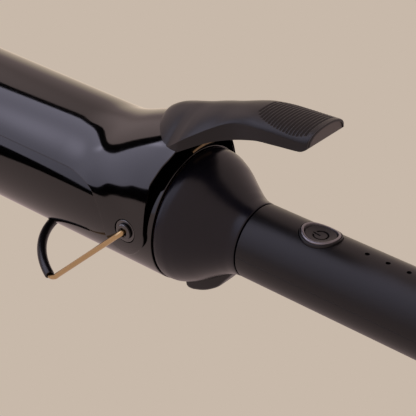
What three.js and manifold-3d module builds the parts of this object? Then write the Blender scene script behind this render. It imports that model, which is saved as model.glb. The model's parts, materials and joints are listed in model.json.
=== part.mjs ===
// Curling iron with a 50 mm barrel: spring clamp with a thumb lever, folding wire
// stand, power button, row of indicator lamps and a swivelling cord inlet.
// Units are millimetres. The iron is built with the barrel axis on X (the cool tip
// at -X, the handle at +X, the thumb lever on top), with the seam between barrel
// and bulb at x = 0, and is then tipped so that it stands as it does in use, on the
// wire stand and on the tail of the handle, with its lowest point at z = 0.
import * as THREE from 'three';
import * as BGU from 'three/addons/utils/BufferGeometryUtils.js';
import { ParametricGeometry } from 'three/addons/geometries/ParametricGeometry.js';
import Module from 'manifold-3d';

const wasm = await Module();
wasm.setup();

// ---------------------------------------------------------------- dimensions
const BARREL_R = 25.0;          // heated tube, outside
const BARREL_WALL = 1.2;
const BARREL_FRONT = -160;      // front end of the tube
const TIP_FRONT = -178;         // end of the cool tip
const SEAM_X = 0;               // barrel to bulb
const NECK_X = 26.64;           // bulb to handle
const HANDLE_R = 13.45;         // at the neck
const HANDLE_TAPER = 0.0036;    // growth of the radius per mm
const HANDLE_END = 168;
const CAP_END = 174;
const HANDLE_WALL = 2.0;
const PIVOT_X = -10.8;          // clamp and stand hinge on one line along Y
const EAR_R = 26.45;            // outside of the clamp ears
const CLAMP_R = 26.25;          // outside of the clamp along the barrel
const CLAMP_FRONT = -149;
const BUTTON_X = 51.5;
const LED_X = [69.7, 77.65, 85.6, 93.55, 101.5];
const WIRE_R = 1.0;
const SLEEVE_R = 1.8;
const STAND_Y = 28.0;           // half width of the stand at its corners
const LEG_Y = 28.9;             // half width at the pivots
const CORNER = { x: -43.7, z: -33.9 };
const BAR_SAG = 21.4;           // bulge of the cross bar
const BAR_LIFT = 18.5;          // degrees, bulge direction above the horizontal
const GAP = 0.3;
const SEG = 32;

// ---------------------------------------------------------------- materials
const mat = (color, roughness, metalness = 0) => new THREE.MeshStandardMaterial({ color, roughness, metalness });
const GLOSS_BLACK = () => mat(0x1b1818, 0.12, 0.1);
const SOFT_BLACK = () => mat(0x2c2a2d, 0.6);
const DARK_PLASTIC = () => mat(0x232225, 0.5);
const GOLD_WIRE = () => mat(0xc8a06a, 0.28, 1);
const STEEL = () => mat(0xb9bbbf, 0.35, 1);
const DARK_STEEL = () => mat(0x39373a, 0.3, 0.9);
const ALU = () => mat(0xc6c8ca, 0.4, 1);

// ---------------------------------------------------------------- solid helpers
function bare(geo) {
  let g = geo.index ? geo.toNonIndexed() : geo.clone();
  for (const n of Object.keys(g.attributes)) if (n !== 'position') g.deleteAttribute(n);
  g = BGU.mergeVertices(g, 1e-4);
  const idx = g.index.array, out = [];
  for (let i = 0; i < idx.length; i += 3) {
    const [a, b, c] = [idx[i], idx[i + 1], idx[i + 2]];
    if (a !== b && b !== c && c !== a) out.push(a, b, c);
  }
  g.setIndex(out);
  return g;
}
function volume(g) {
  const p = g.attributes.position, idx = g.index.array;
  const a = new THREE.Vector3(), b = new THREE.Vector3(), c = new THREE.Vector3();
  let v = 0;
  for (let i = 0; i < idx.length; i += 3) {
    a.fromBufferAttribute(p, idx[i]); b.fromBufferAttribute(p, idx[i + 1]); c.fromBufferAttribute(p, idx[i + 2]);
    v += a.dot(b.cross(c)) / 6;
  }
  return v;
}
function outward(geo) {
  const g = bare(geo);
  if (volume(g) < 0) {
    const idx = g.index.array;
    for (let i = 0; i < idx.length; i += 3) { const t = idx[i + 1]; idx[i + 1] = idx[i + 2]; idx[i + 2] = t; }
  }
  return g;
}
function solid(geo) {
  const g = outward(geo);
  return new wasm.Manifold(new wasm.Mesh({
    numProp: 3,
    vertProperties: new Float32Array(g.attributes.position.array),
    triVerts: new Uint32Array(g.index.array),
  }));
}
function shape(man) {
  const m = man.getMesh();
  const g = new THREE.BufferGeometry();
  const pos = new Float32Array(m.numVert * 3);
  for (let i = 0; i < m.numVert; i++) for (let k = 0; k < 3; k++) pos[3 * i + k] = m.vertProperties[m.numProp * i + k];
  g.setAttribute('position', new THREE.BufferAttribute(pos, 3));
  g.setIndex([...m.triVerts]);
  return g;
}
const iron = new THREE.Group();
function add(name, geo, material) {
  const g = geo.getMesh ? shape(geo) : outward(geo);
  const mesh = new THREE.Mesh(BGU.toCreasedNormals(g, 0.6), material);
  mesh.name = name;
  iron.add(mesh);
  return mesh;
}
// profile: [x, r] pairs round the section; the solid turns about the X axis
function turned(profile, seg = SEG) {
  const pts = profile.map(([x, r]) => new THREE.Vector2(r, x));
  const first = profile[0], last = profile[profile.length - 1];
  if (!(first[1] === 0 && last[1] === 0)) pts.push(pts[0].clone());
  const g = new THREE.LatheGeometry(pts, seg);
  g.rotateZ(-Math.PI / 2);
  return g;
}
const ring = (x0, x1, ri, ro, seg = SEG) => turned([[x0, ri], [x0, ro], [x1, ro], [x1, ri]], seg);
const disc = (x0, x1, r, seg = 32) => turned([[x0, 0], [x0, r], [x1, r], [x1, 0]], seg);
// profile turned about an axis along Y (dir = -1 for the near side, +1 for the far)
function turnedY(profile, x, z, dir, seg = 32) {
  const pts = profile.map(([d, r]) => new THREE.Vector2(r, d * dir));
  if (!(profile[0][1] === 0 && profile[profile.length - 1][1] === 0)) pts.push(pts[0].clone());
  const g = new THREE.LatheGeometry(pts, seg);
  g.translate(x, 0, z);
  return g;
}
// profile turned about a vertical axis
function turnedZ(profile, x, y, seg = 24) {
  const pts = profile.map(([z, r]) => new THREE.Vector2(r, z));
  if (!(profile[0][1] === 0 && profile[profile.length - 1][1] === 0)) pts.push(pts[0].clone());
  const g = new THREE.LatheGeometry(pts, seg);
  g.rotateX(Math.PI / 2);
  g.translate(x, y, 0);
  return g;
}
function box(x0, x1, y0, y1, z0, z1) {
  const g = new THREE.BoxGeometry(x1 - x0, y1 - y0, z1 - z0);
  g.translate((x0 + x1) / 2, (y0 + y1) / 2, (z0 + z1) / 2);
  return g;
}
// outline given in (y, z), extruded along X
function alongX(pts, x0, x1, holes = []) {
  const s = new THREE.Shape(pts.map(([y, z]) => new THREE.Vector2(y, z)));
  for (const h of holes) s.holes.push(new THREE.Path(h.map(([y, z]) => new THREE.Vector2(y, z))));
  const g = new THREE.ExtrudeGeometry(s, { depth: x1 - x0, bevelEnabled: false, curveSegments: 12 });
  g.applyMatrix4(new THREE.Matrix4().makeBasis(
    new THREE.Vector3(0, 1, 0), new THREE.Vector3(0, 0, 1), new THREE.Vector3(1, 0, 0)));
  g.translate(x0, 0, 0);
  return g;
}
// outline given in (x, z), extruded along Y
function alongY(pts, y0, y1) {
  const s = new THREE.Shape(pts.map(([x, z]) => new THREE.Vector2(x, z)));
  const g = new THREE.ExtrudeGeometry(s, { depth: y1 - y0, bevelEnabled: false, curveSegments: 12 });
  g.applyMatrix4(new THREE.Matrix4().makeBasis(
    new THREE.Vector3(1, 0, 0), new THREE.Vector3(0, 0, 1), new THREE.Vector3(0, -1, 0)));
  g.translate(0, y1, 0);
  return g;
}
// elliptical prism standing on Z
function oval(x, a, b, z0, z1, seg = 40, hole = null) {
  const s = new THREE.Shape();
  const pts = [];
  for (let i = 0; i < seg; i++) { const t = (i / seg) * 2 * Math.PI; pts.push(new THREE.Vector2(x + a * Math.cos(t), b * Math.sin(t))); }
  s.setFromPoints(pts);
  if (hole) {
    const h = [];
    for (let i = 0; i < seg; i++) { const t = (i / seg) * 2 * Math.PI; h.push(new THREE.Vector2(x + hole[0] * Math.cos(t), hole[1] * Math.sin(t))); }
    s.holes.push(new THREE.Path(h));
  }
  const g = new THREE.ExtrudeGeometry(s, { depth: z1 - z0, bevelEnabled: false });
  g.translate(0, 0, z0);
  return g;
}
function circlePts(r, n, phase = 0) {
  const a = [];
  for (let i = 0; i < n; i++) { const t = phase + (i / n) * 2 * Math.PI; a.push([r * Math.cos(t), r * Math.sin(t)]); }
  return a;
}
// round section, hollow if ri > 0, swept along a list of points
function swept(points, ro, ri, n, steps) {
  const s = new THREE.Shape(circlePts(ro, n).map(([a, b]) => new THREE.Vector2(a, b)));
  if (ri > 0) s.holes.push(new THREE.Path(circlePts(ri, n).map(([a, b]) => new THREE.Vector2(a, b))));
  const curve = new THREE.CatmullRomCurve3(points.map((p) => new THREE.Vector3(...p)), false, 'centripetal');
  return new THREE.ExtrudeGeometry(s, { steps, bevelEnabled: false, extrudePath: curve });
}
const lerp = (a, b, t) => a + (b - a) * t;
const smooth = (t) => { const s = Math.min(1, Math.max(0, t)); return s * s * (3 - 2 * s); };
// monotone cubic table
function table(rows) {
  const n = rows.length, d = [], m = [];
  for (let i = 0; i < n - 1; i++) d.push((rows[i + 1][1] - rows[i][1]) / (rows[i + 1][0] - rows[i][0]));
  m.push(d[0]);
  for (let i = 1; i < n - 1; i++) m.push(d[i - 1] * d[i] <= 0 ? 0 : (2 * d[i - 1] * d[i]) / (d[i - 1] + d[i]));
  m.push(d[n - 2]);
  return (x) => {
    if (x <= rows[0][0]) return rows[0][1];
    if (x >= rows[n - 1][0]) return rows[n - 1][1];
    let i = 0; while (x > rows[i + 1][0]) i++;
    const h = rows[i + 1][0] - rows[i][0], t = (x - rows[i][0]) / h, t2 = t * t, t3 = t2 * t;
    return (2 * t3 - 3 * t2 + 1) * rows[i][1] + (t3 - 2 * t2 + t) * h * m[i] + (-2 * t3 + 3 * t2) * rows[i + 1][1] + (t3 - t2) * h * m[i + 1];
  };
}
const D = Math.PI / 180;
const handleR = (x) => HANDLE_R + HANDLE_TAPER * (x - NECK_X);

// ---------------------------------------------------------------- heated barrel
const pivotHole = (r) => solid(turnedY([[-32, 0], [-32, r], [32, r], [32, 0]], PIVOT_X, 0, 1, 24));
add('barrel_tube', solid(ring(BARREL_FRONT, SEAM_X - 0.3, BARREL_R - BARREL_WALL, BARREL_R, 48)).subtract(pivotHole(2.1)), GLOSS_BLACK());

// cool tip: a moulded cap whose spigot plugs into the tube
add('cool_tip', turned([
  [BARREL_FRONT - GAP, 22.0], [BARREL_FRONT - GAP, BARREL_R - 0.15], [-164, BARREL_R], [-169, 24.6], [-173, 23.4], [-176, 21.0],
  [TIP_FRONT + 0.5, 17.5], [TIP_FRONT, 14.0], [TIP_FRONT, 3.2], [TIP_FRONT + 2.2, 3.2], [TIP_FRONT + 2.2, 13.5],
  [-172, 20.0], [-150, 21.4], [-150, BARREL_R - BARREL_WALL - GAP], [BARREL_FRONT + 0.3, BARREL_R - BARREL_WALL - GAP], [BARREL_FRONT + 0.3, 22.9], [BARREL_FRONT - GAP, 22.9],
].filter((p, i) => i !== 0)), DARK_PLASTIC());
add('tip_screw', turned([[TIP_FRONT + 0.4, 0], [TIP_FRONT + 0.4, 2.2], [TIP_FRONT + 1.0, 2.8], [TIP_FRONT + 2.2, 2.8], [TIP_FRONT + 2.6, 1.5], [-166, 1.5], [-165, 0]], 20), DARK_STEEL());
// bridge across the heater block that the tip screw pulls against
add('tip_anchor', solid(box(-169, -153.5, -20.4, 20.4, -4, 4)).subtract(solid(disc(-175, -160, 1.8, 20))).intersect(solid(disc(-170, -153, 19.4, 48))), STEEL());

// phenolic bush in the rear of the tube, tapped for the pivot screws
const bush = solid(ring(-22, -1.2, 14.6, BARREL_R - BARREL_WALL - GAP, SEG))
  .subtract(solid(turnedY([[-30, 0], [-30, 1.75], [30, 1.75], [30, 0]], PIVOT_X, 0, 1, 20)))
  .subtract(solid(turned([[-5, 0], [-5, 1.3], [0, 1.3], [0, 0]], 16).translate(0, 0, 18)))
  .subtract(solid(turned([[-5, 0], [-5, 1.3], [0, 1.3], [0, 0]], 16).translate(0, 0, -18)));
add('rear_bush', bush, mat(0x6b4a33, 0.7));

// heater: two aluminium spreaders pushed apart against the tube, ceramic plate between
function spreader(sign) {
  const ro = BARREL_R - BARREL_WALL - GAP, ri = ro - 2.2, pts = [];
  const a0 = 14, a1 = 166, n = 22;
  for (let i = 0; i <= n; i++) { const t = lerp(a0, a1, i / n) * D; pts.push([ro * Math.cos(t), ro * Math.sin(t)]); }
  const webs = [];
  for (let i = n; i >= 0; i--) {
    const t = lerp(a0 + 1, a1 - 1, i / n) * D; const y = ri * Math.cos(t), z = ri * Math.sin(t);
    if (Math.abs(y) > 3.2) webs.push([y, z]);
    else if (webs.length && Math.abs(webs[webs.length - 1][0]) > 3.2) {
      const zi = Math.sqrt(ri * ri - 9);
      webs.push([-3, zi], [-3, 3.4], [-9, 3.4], [-9, 1.1], [9, 1.1], [9, 3.4], [3, 3.4], [3, zi]);
    }
  }
  const all = pts.concat(webs).map(([y, z]) => [y, sign * z]);
  return alongX(all, -148, -26);
}
add('heat_spreader_upper', spreader(1), ALU());
add('heat_spreader_lower', spreader(-1), ALU());
add('heater_plate', box(-136, -40, -8, 8, -0.75, 0.75), mat(0xe8e4da, 0.6));
// bow springs beside the plate hold the spreaders out
function bow(y) {
  const pts = [];
  const out = [], inn = [];
  for (let i = 0; i <= 16; i++) { const t = i / 16, x = lerp(-132, -44, t), z = 3.6 - 3.0 * 4 * Math.abs(t - 0.5) ** 2 * 1.9; out.push([x, Math.max(-2.3, z)]); inn.push([x, Math.max(-2.3, z) - 0.5]); }
  pts.push(...out, ...inn.reverse());
  return alongY(pts, y - 2.2, y + 2.2);
}
add('spreader_spring_1', bow(-14.2), STEEL());
add('spreader_spring_2', bow(14.2), STEEL());
add('thermistor', turned([[-96, 0], [-96, 0.9], [-95.2, 1.4], [-90.8, 1.4], [-90, 0.9], [-90, 0]], 12).translate(0, 6.2, 5.2), mat(0xc86a2a, 0.3));
add('thermal_fuse', turned([[-84, 0], [-84, 1.9], [-72, 1.9], [-72, 0]], 16).translate(0, -6.6, 5.9), mat(0xd8d4cc, 0.4, 0.4));
function lead(name, pts, r, color) { add(name, swept(pts, r, 0, 6, 16), mat(color, 0.6)); }
lead('heater_lead_1', [[-39.4, -4, 0], [-24, -5, 0], [-8, -6, -1], [6, -6, -2], [20, -5, -2], [33.5, -4.5, -0.5], [42, -4.5, 0.6], [44, -4.5, 0.9]], 0.75, 0xd9d4c8);
lead('heater_lead_2', [[-39.4, 4, 0], [-24, 5, 0], [-8, 6, -1], [6, 6, -2], [20, 5, -2], [33.5, 4.5, -0.5], [42, 4.5, 0.6], [44, 4.5, 0.9]], 0.75, 0xd9d4c8);
lead('sensor_lead', [[-89.4, 6.2, 5.2], [-70, 6.2, 5.4], [-24, 6, 5.5], [-4, 3, 5], [10, 0, 4.2], [24, 0, 3.2], [34.8, 0, 3.0]], 0.6, 0xb8b8b8);

// ---------------------------------------------------------------- bulb housing
const bulbR = table([[0.3, 24.45], [0.8, 24.7], [3.3, 24.5], [6.66, 23.35], [9.99, 21.6], [13.32, 19.35], [16.65, 17.15], [19.98, 15.15], [23.31, 13.85], [26.4, 13.45]]);
const bulbOuter = [];
for (const x of [0.3, 0.8, 3.3, 5.5, 8, 11, 14, 17, 20, 22, 24, 26.34]) bulbOuter.push([x, bulbR(x)]);
const bulbInner = [[26.34, 11.1], [34, 11.1], [34, 9.4], [23, 9.4]];
for (const x of [20, 15, 10, 4.2]) bulbInner.push([x, Math.max(9.4, bulbR(x + 0.4) - 2.4)]);
bulbInner.push([4.2, 11], [0.3, 11]);
let bulb = solid(turned([...bulbOuter, ...bulbInner], 32));
for (const z of [18, -18]) bulb = bulb.subtract(solid(disc(-2, 6, 1.6, 16).translate(0, 0, z)));
bulb = bulb.subtract(solid(turnedZ([[-30, 0], [-30, 1.8], [-14, 1.8], [-14, 0]], 8, 0, 20)));
add('bulb_housing', bulb, SOFT_BLACK());
for (const [i, z] of [[1, 18], [2, -18]]) {
  add(`bush_screw_${i}`, turned([[6.2, 0], [6.2, 1.6], [5.6, 2.2], [4.55, 2.2], [4.55, 1.0], [-4.4, 1.0], [-4.7, 0]], 16).translate(0, 0, z), STEEL());
}
// heel under the bulb
{
  const side = [[0.4, -18], [0.4, -27.9], [0.9, -28.7], [2.2, -29.0], [5.4, -28.2], [8.3, -27.0], [10.8, -25.5], [14.1, -22.9], [16.8, -19.4], [19.4, -15.8], [20.4, -13.5], [10, -12]];
  const half = [[1.5, -30.0], [3.0, -29.4], [4.1, -28.5], [4.7, -27.3], [5.2, -25], [5.6, -10]];
  const cross = [...half, ...half.map(([y, z]) => [-y, z]).reverse()];
  const outer = [];
  for (const [x, r] of bulbOuter) outer.push([x, r + 0.35]);
  let foot = solid(alongY(side, -8, 8)).intersect(solid(alongX(cross, -2, 24)))
    .subtract(solid(turned([[-3, 0], [-3, 25.3], [0.3, 25.0], ...outer.slice(1), [30, HANDLE_R + 0.35], [30, 0]], 32)));
  foot = foot.add(solid(turnedZ([[-27, 0], [-27, 1.5], [-19.2, 1.5], [-18.6, 1.0], [-18.6, 0]], 8, 0, 16)));
  add('heel_foot', foot, SOFT_BLACK());
}

// ---------------------------------------------------------------- handle
function halfTube(x0, x1, sign) {
  const ro0 = handleR(x0), ro1 = handleR(x1);
  const full = solid(turned([[x0, ro0 - HANDLE_WALL], [x0, ro0], [x1, ro1], [x1, ro1 - HANDLE_WALL]], SEG));
  return full.intersect(solid(box(x0 - 1, x1 + 1, -20, 20, sign > 0 ? 0.12 : -20, sign > 0 ? 20 : -0.12)));
}
const SCREW_X = [124, 142];
const handleCore = (x0, x1, grow) => solid(turned([[x0, 0], [x0, handleR(x0) + grow], [x1, handleR(x1) + grow], [x1, 0]], SEG));
let upper = halfTube(NECK_X + GAP, HANDLE_END, 1);
for (const x of SCREW_X) {
  const boss = solid(turnedZ([[0.12, 1.35], [0.12, 3.2], [12.6, 3.2], [12.6, 1.35]], x, 0, 12)).intersect(handleCore(100, 170, -0.6));
  upper = upper.add(boss);
}
for (const y of [-1, 1]) upper = upper.add(solid(box(60, 64, y * 9.9 - 0.8, y * 9.9 + 0.8, 4.3, 7.5)).intersect(handleCore(50, 70, -0.6)));
upper = upper.subtract(solid(oval(BUTTON_X, 7.9, 6.9, 5, 16, 48)));
for (const x of LED_X) upper = upper.subtract(solid(turnedZ([[5, 0], [5, 1.15], [16, 1.15], [16, 0]], x, 0, 16)));
add('handle_upper', upper, SOFT_BLACK());
let lower = halfTube(NECK_X + GAP, HANDLE_END, -1);
for (const x of SCREW_X) {
  lower = lower.add(solid(turnedZ([[-12.6, 0], [-12.6, 3.9], [-0.12, 3.9], [-0.12, 0]], x, 0, 16)).intersect(handleCore(100, 170, -0.6)));
  lower = lower.subtract(solid(turnedZ([[-20, 0], [-20, 3.0], [-6, 3.0], [-6, 0]], x, 0, 16)));
  lower = lower.subtract(solid(turnedZ([[-7, 0], [-7, 1.5], [1, 1.5], [1, 0]], x, 0, 12)));
}
for (const x of [44, 110]) lower = lower.add(solid(box(x - 1, x + 1, -9, 9, -12.4, 1.8)).subtract(solid(box(x - 2, x + 2, -6.5, 6.5, -13.2, 2.4))).intersect(handleCore(30, 120, -0.6)));
add('handle_lower', lower, SOFT_BLACK());
SCREW_X.forEach((x, i) => add(`handle_screw_${i + 1}`, turnedZ([[-9.6, 0], [-9.6, 2.4], [-8.4, 2.6], [-6.3, 2.6], [-6.3, 1.05], [7.4, 1.05], [8.4, 0]], x, 0, 16), DARK_STEEL()));

// power button: raised surround, satin trim ring, sprung key
const shellBand = (lo, hi) => solid(turned([[40, lo], [40, hi], [66, hi], [66, lo]], 60));
add('button_surround', solid(oval(BUTTON_X, 7.65, 6.65, 5, 18, 28, [7.2, 6.2])).intersect(shellBand(11.6, 14.35)), SOFT_BLACK());
add('button_trim_ring', solid(oval(BUTTON_X, 7.0, 6.0, 5, 18, 28, [6.05, 5.05])).intersect(shellBand(11.8, 14.5)), mat(0x77706c, 0.4, 0.7));
{
  const dish = (z) => solid(new THREE.SphereGeometry(17, 48, 32).rotateX(Math.PI / 2).translate(BUTTON_X, 0, z + 17));
  let key = solid(oval(BUTTON_X, 5.7, 4.7, 11.0, 13.5, 28)).intersect(solid(turned([[40, 0], [40, 14.3], [66, 14.3], [66, 0]], 60))).subtract(dish(12.7));
  key = key.add(solid(turnedZ([[8.9, 0], [8.9, 1.8], [12.3, 1.8], [12.3, 0]], BUTTON_X, 0, 16)));
  const arc = new THREE.Shape(), n = 16, g0 = 205 * D, g1 = 515 * D, R1 = 3.05, R0 = 2.55, a = [];
  for (let i = 0; i <= n; i++) { const t = lerp(g0, g1, i / n); a.push(new THREE.Vector2(BUTTON_X + R1 * Math.cos(t), R1 * Math.sin(t))); }
  for (let i = n; i >= 0; i--) { const t = lerp(g0, g1, i / n); a.push(new THREE.Vector2(BUTTON_X + R0 * Math.cos(t), R0 * Math.sin(t))); }
  arc.setFromPoints(a);
  const below = dish(12.45);
  const mark = solid(new THREE.ExtrudeGeometry(arc, { depth: 4, bevelEnabled: false }).translate(0, 0, 10)).add(solid(box(BUTTON_X - 3.2, BUTTON_X - 0.2, -0.26, 0.26, 10, 14)));
  key = key.subtract(mark.intersect(below));
  add('power_button', key, mat(0x3a3432, 0.45));
}

// control board and what it carries
let board = solid(box(36, 118, -9.2, 9.2, 2.2, 3.8));
board = board.subtract(solid(box(59.6, 64.4, -12, -8.5, 1, 5))).subtract(solid(box(59.6, 64.4, 8.5, 12, 1, 5)));
add('control_board', board, mat(0x1f5a3a, 0.5));
add('key_switch', solid(box(BUTTON_X - 3, BUTTON_X + 3, -3, 3, 4.1, 7.2)).subtract(solid(turnedZ([[5.2, 0], [5.2, 1.8], [8, 1.8], [8, 0]], BUTTON_X, 0, 16))), mat(0x2a2a2c, 0.5));
add('switch_plunger', turnedZ([[6.0, 0], [6.0, 1.5], [8.55, 1.5], [8.55, 0]], BUTTON_X, 0, 16), mat(0x8a8a8c, 0.5));
LED_X.forEach((x, i) => add(`indicator_lamp_${i + 1}`, turnedZ([[4.1, 0], [4.1, 1.5], [5.6, 1.5], [5.6, 0.85], [handleR(x) - 0.55, 0.85], [handleR(x) - 0.3, 0.6], [handleR(x) - 0.3, 0]], x, 0, 10), mat(0x121214, 0.2)));
add('triac', solid(box(106, 115, -5, 5, 4.1, 8.4)), mat(0x202022, 0.5));
add('filter_capacitor', solid(box(78, 92, -3.5, 3.5, -7.6, 1.9)), mat(0x8a6a2a, 0.5));

// ---------------------------------------------------------------- tail, cord inlet
const rEnd = handleR(HANDLE_END);
add('end_cap', turned([
  [160, 10.2], [160, rEnd - HANDLE_WALL - GAP], [HANDLE_END + 0.15, rEnd - HANDLE_WALL - GAP], [HANDLE_END + GAP, rEnd - 0.1],
  [170.5, rEnd], [172.4, rEnd - 0.5], [173.6, rEnd - 1.6], [CAP_END, rEnd - 3.2], [CAP_END, 7.1], [170.5, 7.1], [170.5, 10.2],
]).applyMatrix4(new THREE.Matrix4()), DARK_PLASTIC());
// swivelling inlet sleeve, bored for the cord
add('cord_inlet_swivel', turned([
  [150, 2.2], [150, 5.2], [164.5, 5.2], [164.5, 9.2], [170.1, 9.2], [170.1, 6.7], [CAP_END + 1, 6.7], [CAP_END + 6.5, 6.2], [CAP_END + 8, 5.2], [CAP_END + 8, 3.6], [160, 3.6], [160, 2.2],
], 24), DARK_PLASTIC());
add('slip_ring_1', ring(151.4, 153.4, 5.5, 6.4, 16), mat(0xc9a227, 0.3, 1));
add('slip_ring_2', ring(155.4, 157.4, 5.5, 6.4, 16), mat(0xc9a227, 0.3, 1));
function leaf(x) {
  return alongY([[x - 0.9, 0], [x + 0.9, 0], [x + 0.9, 0.5], [x - 0.9, 0.5]], -3, 3);
}
for (const [i, x] of [[1, 152.4], [2, 156.4]]) {
  const g = solid(leaf(x)).add(solid(box(x - 0.9, x + 0.9, -3, -2.4, -3.4, 0.5))).add(solid(box(x - 0.9, x + 0.9, 2.4, 3, -3.4, 0.5)));
  add(`slip_contact_${i}`, shape(g).translate(0, 0, -7.2), mat(0xc9a227, 0.35, 1));
}

// ---------------------------------------------------------------- pivots
for (const [side, dir] of [['near', -1], ['far', 1]]) {
  add(`pivot_bush_${side}`, turnedY([[25.3, 2.05], [25.3, 4.1], [25.75, 4.2], [26.3, 4.2], [26.3, 2.05]], PIVOT_X, 0, dir, 20), DARK_PLASTIC());
  add(`pivot_screw_${side}`, turnedY([
    [18.2, 0], [18.2, 1.45], [23.6, 1.45], [23.7, 1.75], [26.6, 1.75], [26.6, 3.0], [27.3, 3.0], [27.6, 2.7], [27.6, 1.75], [27.2, 1.35], [25.0, 1.35], [25.0, 0],
  ], PIVOT_X, 0, dir, 14), DARK_STEEL());
}

// ---------------------------------------------------------------- clamp
// lift of the sheet off its round form: control values every 5 mm along x from -51, and every 10 degrees round from the crown
const LIFT = [
  [0, 0, 0, 0, 0, 0, 0, 0, 0],
  [0, 0, 0, 0, 0, 0, 0, 0, 0],
  [0.33, 0.33, 0.32, 0.11, 0.07, 0.08, 0.1, 0.1, 0],
  [0.91, 0.75, 0.22, 0.02, 0.1, 0.2, 0.3, 0.31, 0],
  [2.05, 1.86, 1.24, 0.74, 0.49, 0.44, 0.5, 0.5, 0],
  [3.84, 3.66, 3.06, 2.34, 1.55, 0.98, 0.6, 0.43, 0],
  [5.95, 5.71, 4.9, 3.83, 2.75, 1.76, 0.8, 0.09, 0],
  [7.85, 7.54, 6.5, 5.16, 3.72, 2.41, 1.14, 0.03, 0],
  [9.48, 9.13, 7.98, 6.34, 4.47, 2.88, 1.54, 0.26, 0],
  [10.92, 10.55, 9.33, 7.34, 5.03, 3.11, 1.76, 0.61, 0],
  [12.09, 11.68, 10.31, 8.09, 5.56, 3.4, 1.93, 0.82, 0],
  [12.92, 12.46, 10.93, 8.62, 6.06, 3.77, 2.05, 0.81, 0],
  [13.43, 12.94, 11.3, 8.94, 6.36, 3.99, 2.12, 0.81, 0]];
const bell = (t) => { const q = Math.abs(t); return q < 1 ? (4 - 6 * q * q + 3 * q * q * q) / 6 : q < 2 ? (2 - q) ** 3 / 6 : 0; };
function clampR(x, th) {
  const a = Math.abs(th) / D;
  let h = 0;
  for (let i = 0; i < 13; i++) {
    const u = bell((x + 51 - 5 * i) / 5);
    if (u > 0) for (let j = 0; j < 9; j++) h += u * LIFT[i][j] * (bell((a - 10 * j) / 10) + (j > 0 ? bell((a + 10 * j) / 10) : 0));
  }
  return CLAMP_R + (EAR_R - CLAMP_R) * smooth((x + 46) / 16) + h;
}
const clampT = (x) => lerp(0.65, 0.8, smooth((x + 46) / 16));
function clampShell(rOuter, rInner, x0, x1, thMax, nu, nv) {
  // closed skin: v runs over the outside and back along the inside
  const f = (u, v, target) => {
    const x = lerp(x0, x1, u <= 0 ? 0 : u >= 1 ? 1 : u);
    const w = v > 1 - 1e-9 ? 0 : v;
    const out = w <= 0.5;
    const s = out ? w * 2 : 2 - w * 2;
    const th = lerp(-thMax, thMax, s) * D;
    const r = out ? rOuter(x, th) : rInner(x, th);
    target.set(x, -r * Math.sin(th), r * Math.cos(th));
  };
  const g = new ParametricGeometry(f, nu, nv);
  // end walls
  const caps = [];
  for (const u of [0, 1]) {
    const n = nv / 2;
    for (let i = 0; i < n; i++) {
      const a = new THREE.Vector3(), b = new THREE.Vector3(), c = new THREE.Vector3(), d = new THREE.Vector3();
      f(u, (i / nv), a); f(u, ((i + 1) / nv), b); f(u, 1 - (i + 1) / nv, c); f(u, 1 - i / nv, d);
      const q = u === 0 ? [a, b, c, a, c, d] : [a, c, b, a, d, c];
      caps.push(...q);
    }
  }
  const cg = new THREE.BufferGeometry().setFromPoints(caps);
  const main = g.toNonIndexed();
  for (const n of ['normal', 'uv']) main.deleteAttribute(n);
  return { main, cg };
}
function closedShell(rOuter, rInner, x0, x1, thMax, nu, nv) {
  const { main, cg } = clampShell(rOuter, rInner, x0, x1, thMax, nu, nv);
  const tryMerge = (c) => BGU.mergeGeometries([main, c]);
  return tryMerge(cg);
}
const clampSide = [
  [CLAMP_FRONT, 25.6], [-148.6, 23.4], [-147.2, 20.4], [-144.6, 17.0], [-141.2, 14.4], [-137, 12.95], [-131, 12.4], [-100, 12.4], [-75, 12.4], [-45, 12.4],
  [-38.6, 12.4], [-34.9, 11.9], [-31.7, 11.1], [-29.4, 10.2], [-27.6, 9.1], [-26.2, 7.7], [-24.2, 5.2], [-22.9, 3.0], [-21.5, 0.4], [-20.7, -2.8], [-20.1, -5.6],
  [-18.6, -8.0], [-16.2, -9.7], [-13.2, -10.5], [-10.4, -10.3], [-7.6, -8.6], [-5.4, -6.4], [-3.6, -4.0], [-2.6, -1.6], [-2.5, 0.6], [-3.3, 2.9], [-4.3, 5.2], [-4.6, 7.8], [-4.2, 10.4], [-3.6, 13.0], [-3.62, 14.6], [-3.77, 16.3], [-3.74, 18.35], [-3.09, 20.6], [-2.37, 22.5], [-1.67, 24.4], [-0.79, 26.6], [0.44, 28.85], [1.03, 30.0], [1.58, 31.2], [2.0, 33.0], [2.0, 44],
  [CLAMP_FRONT, 44],
];
const clampCut = solid(alongY(clampSide, -40, 40));
const LEVER_SCREW_X = [-11, -6.4];
const screwSeat = (x) => clampR(x - 2.3, 0) - clampT(x) - 0.3;
let clampHoles = pivotHole(4.5);
for (const x of LEVER_SCREW_X) clampHoles = clampHoles.add(solid(turnedZ([[20, 0], [20, 1.4], [42, 1.4], [42, 0]], x, 0, 12)));
const clampSkin = solid(closedShell((x, th) => clampR(x, th), (x, th) => clampR(x, th) - clampT(x), -150, 2.4, 122, 40, 52));
add('clamp_plate', clampSkin.intersect(clampCut).subtract(clampHoles), GLOSS_BLACK());

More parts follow.
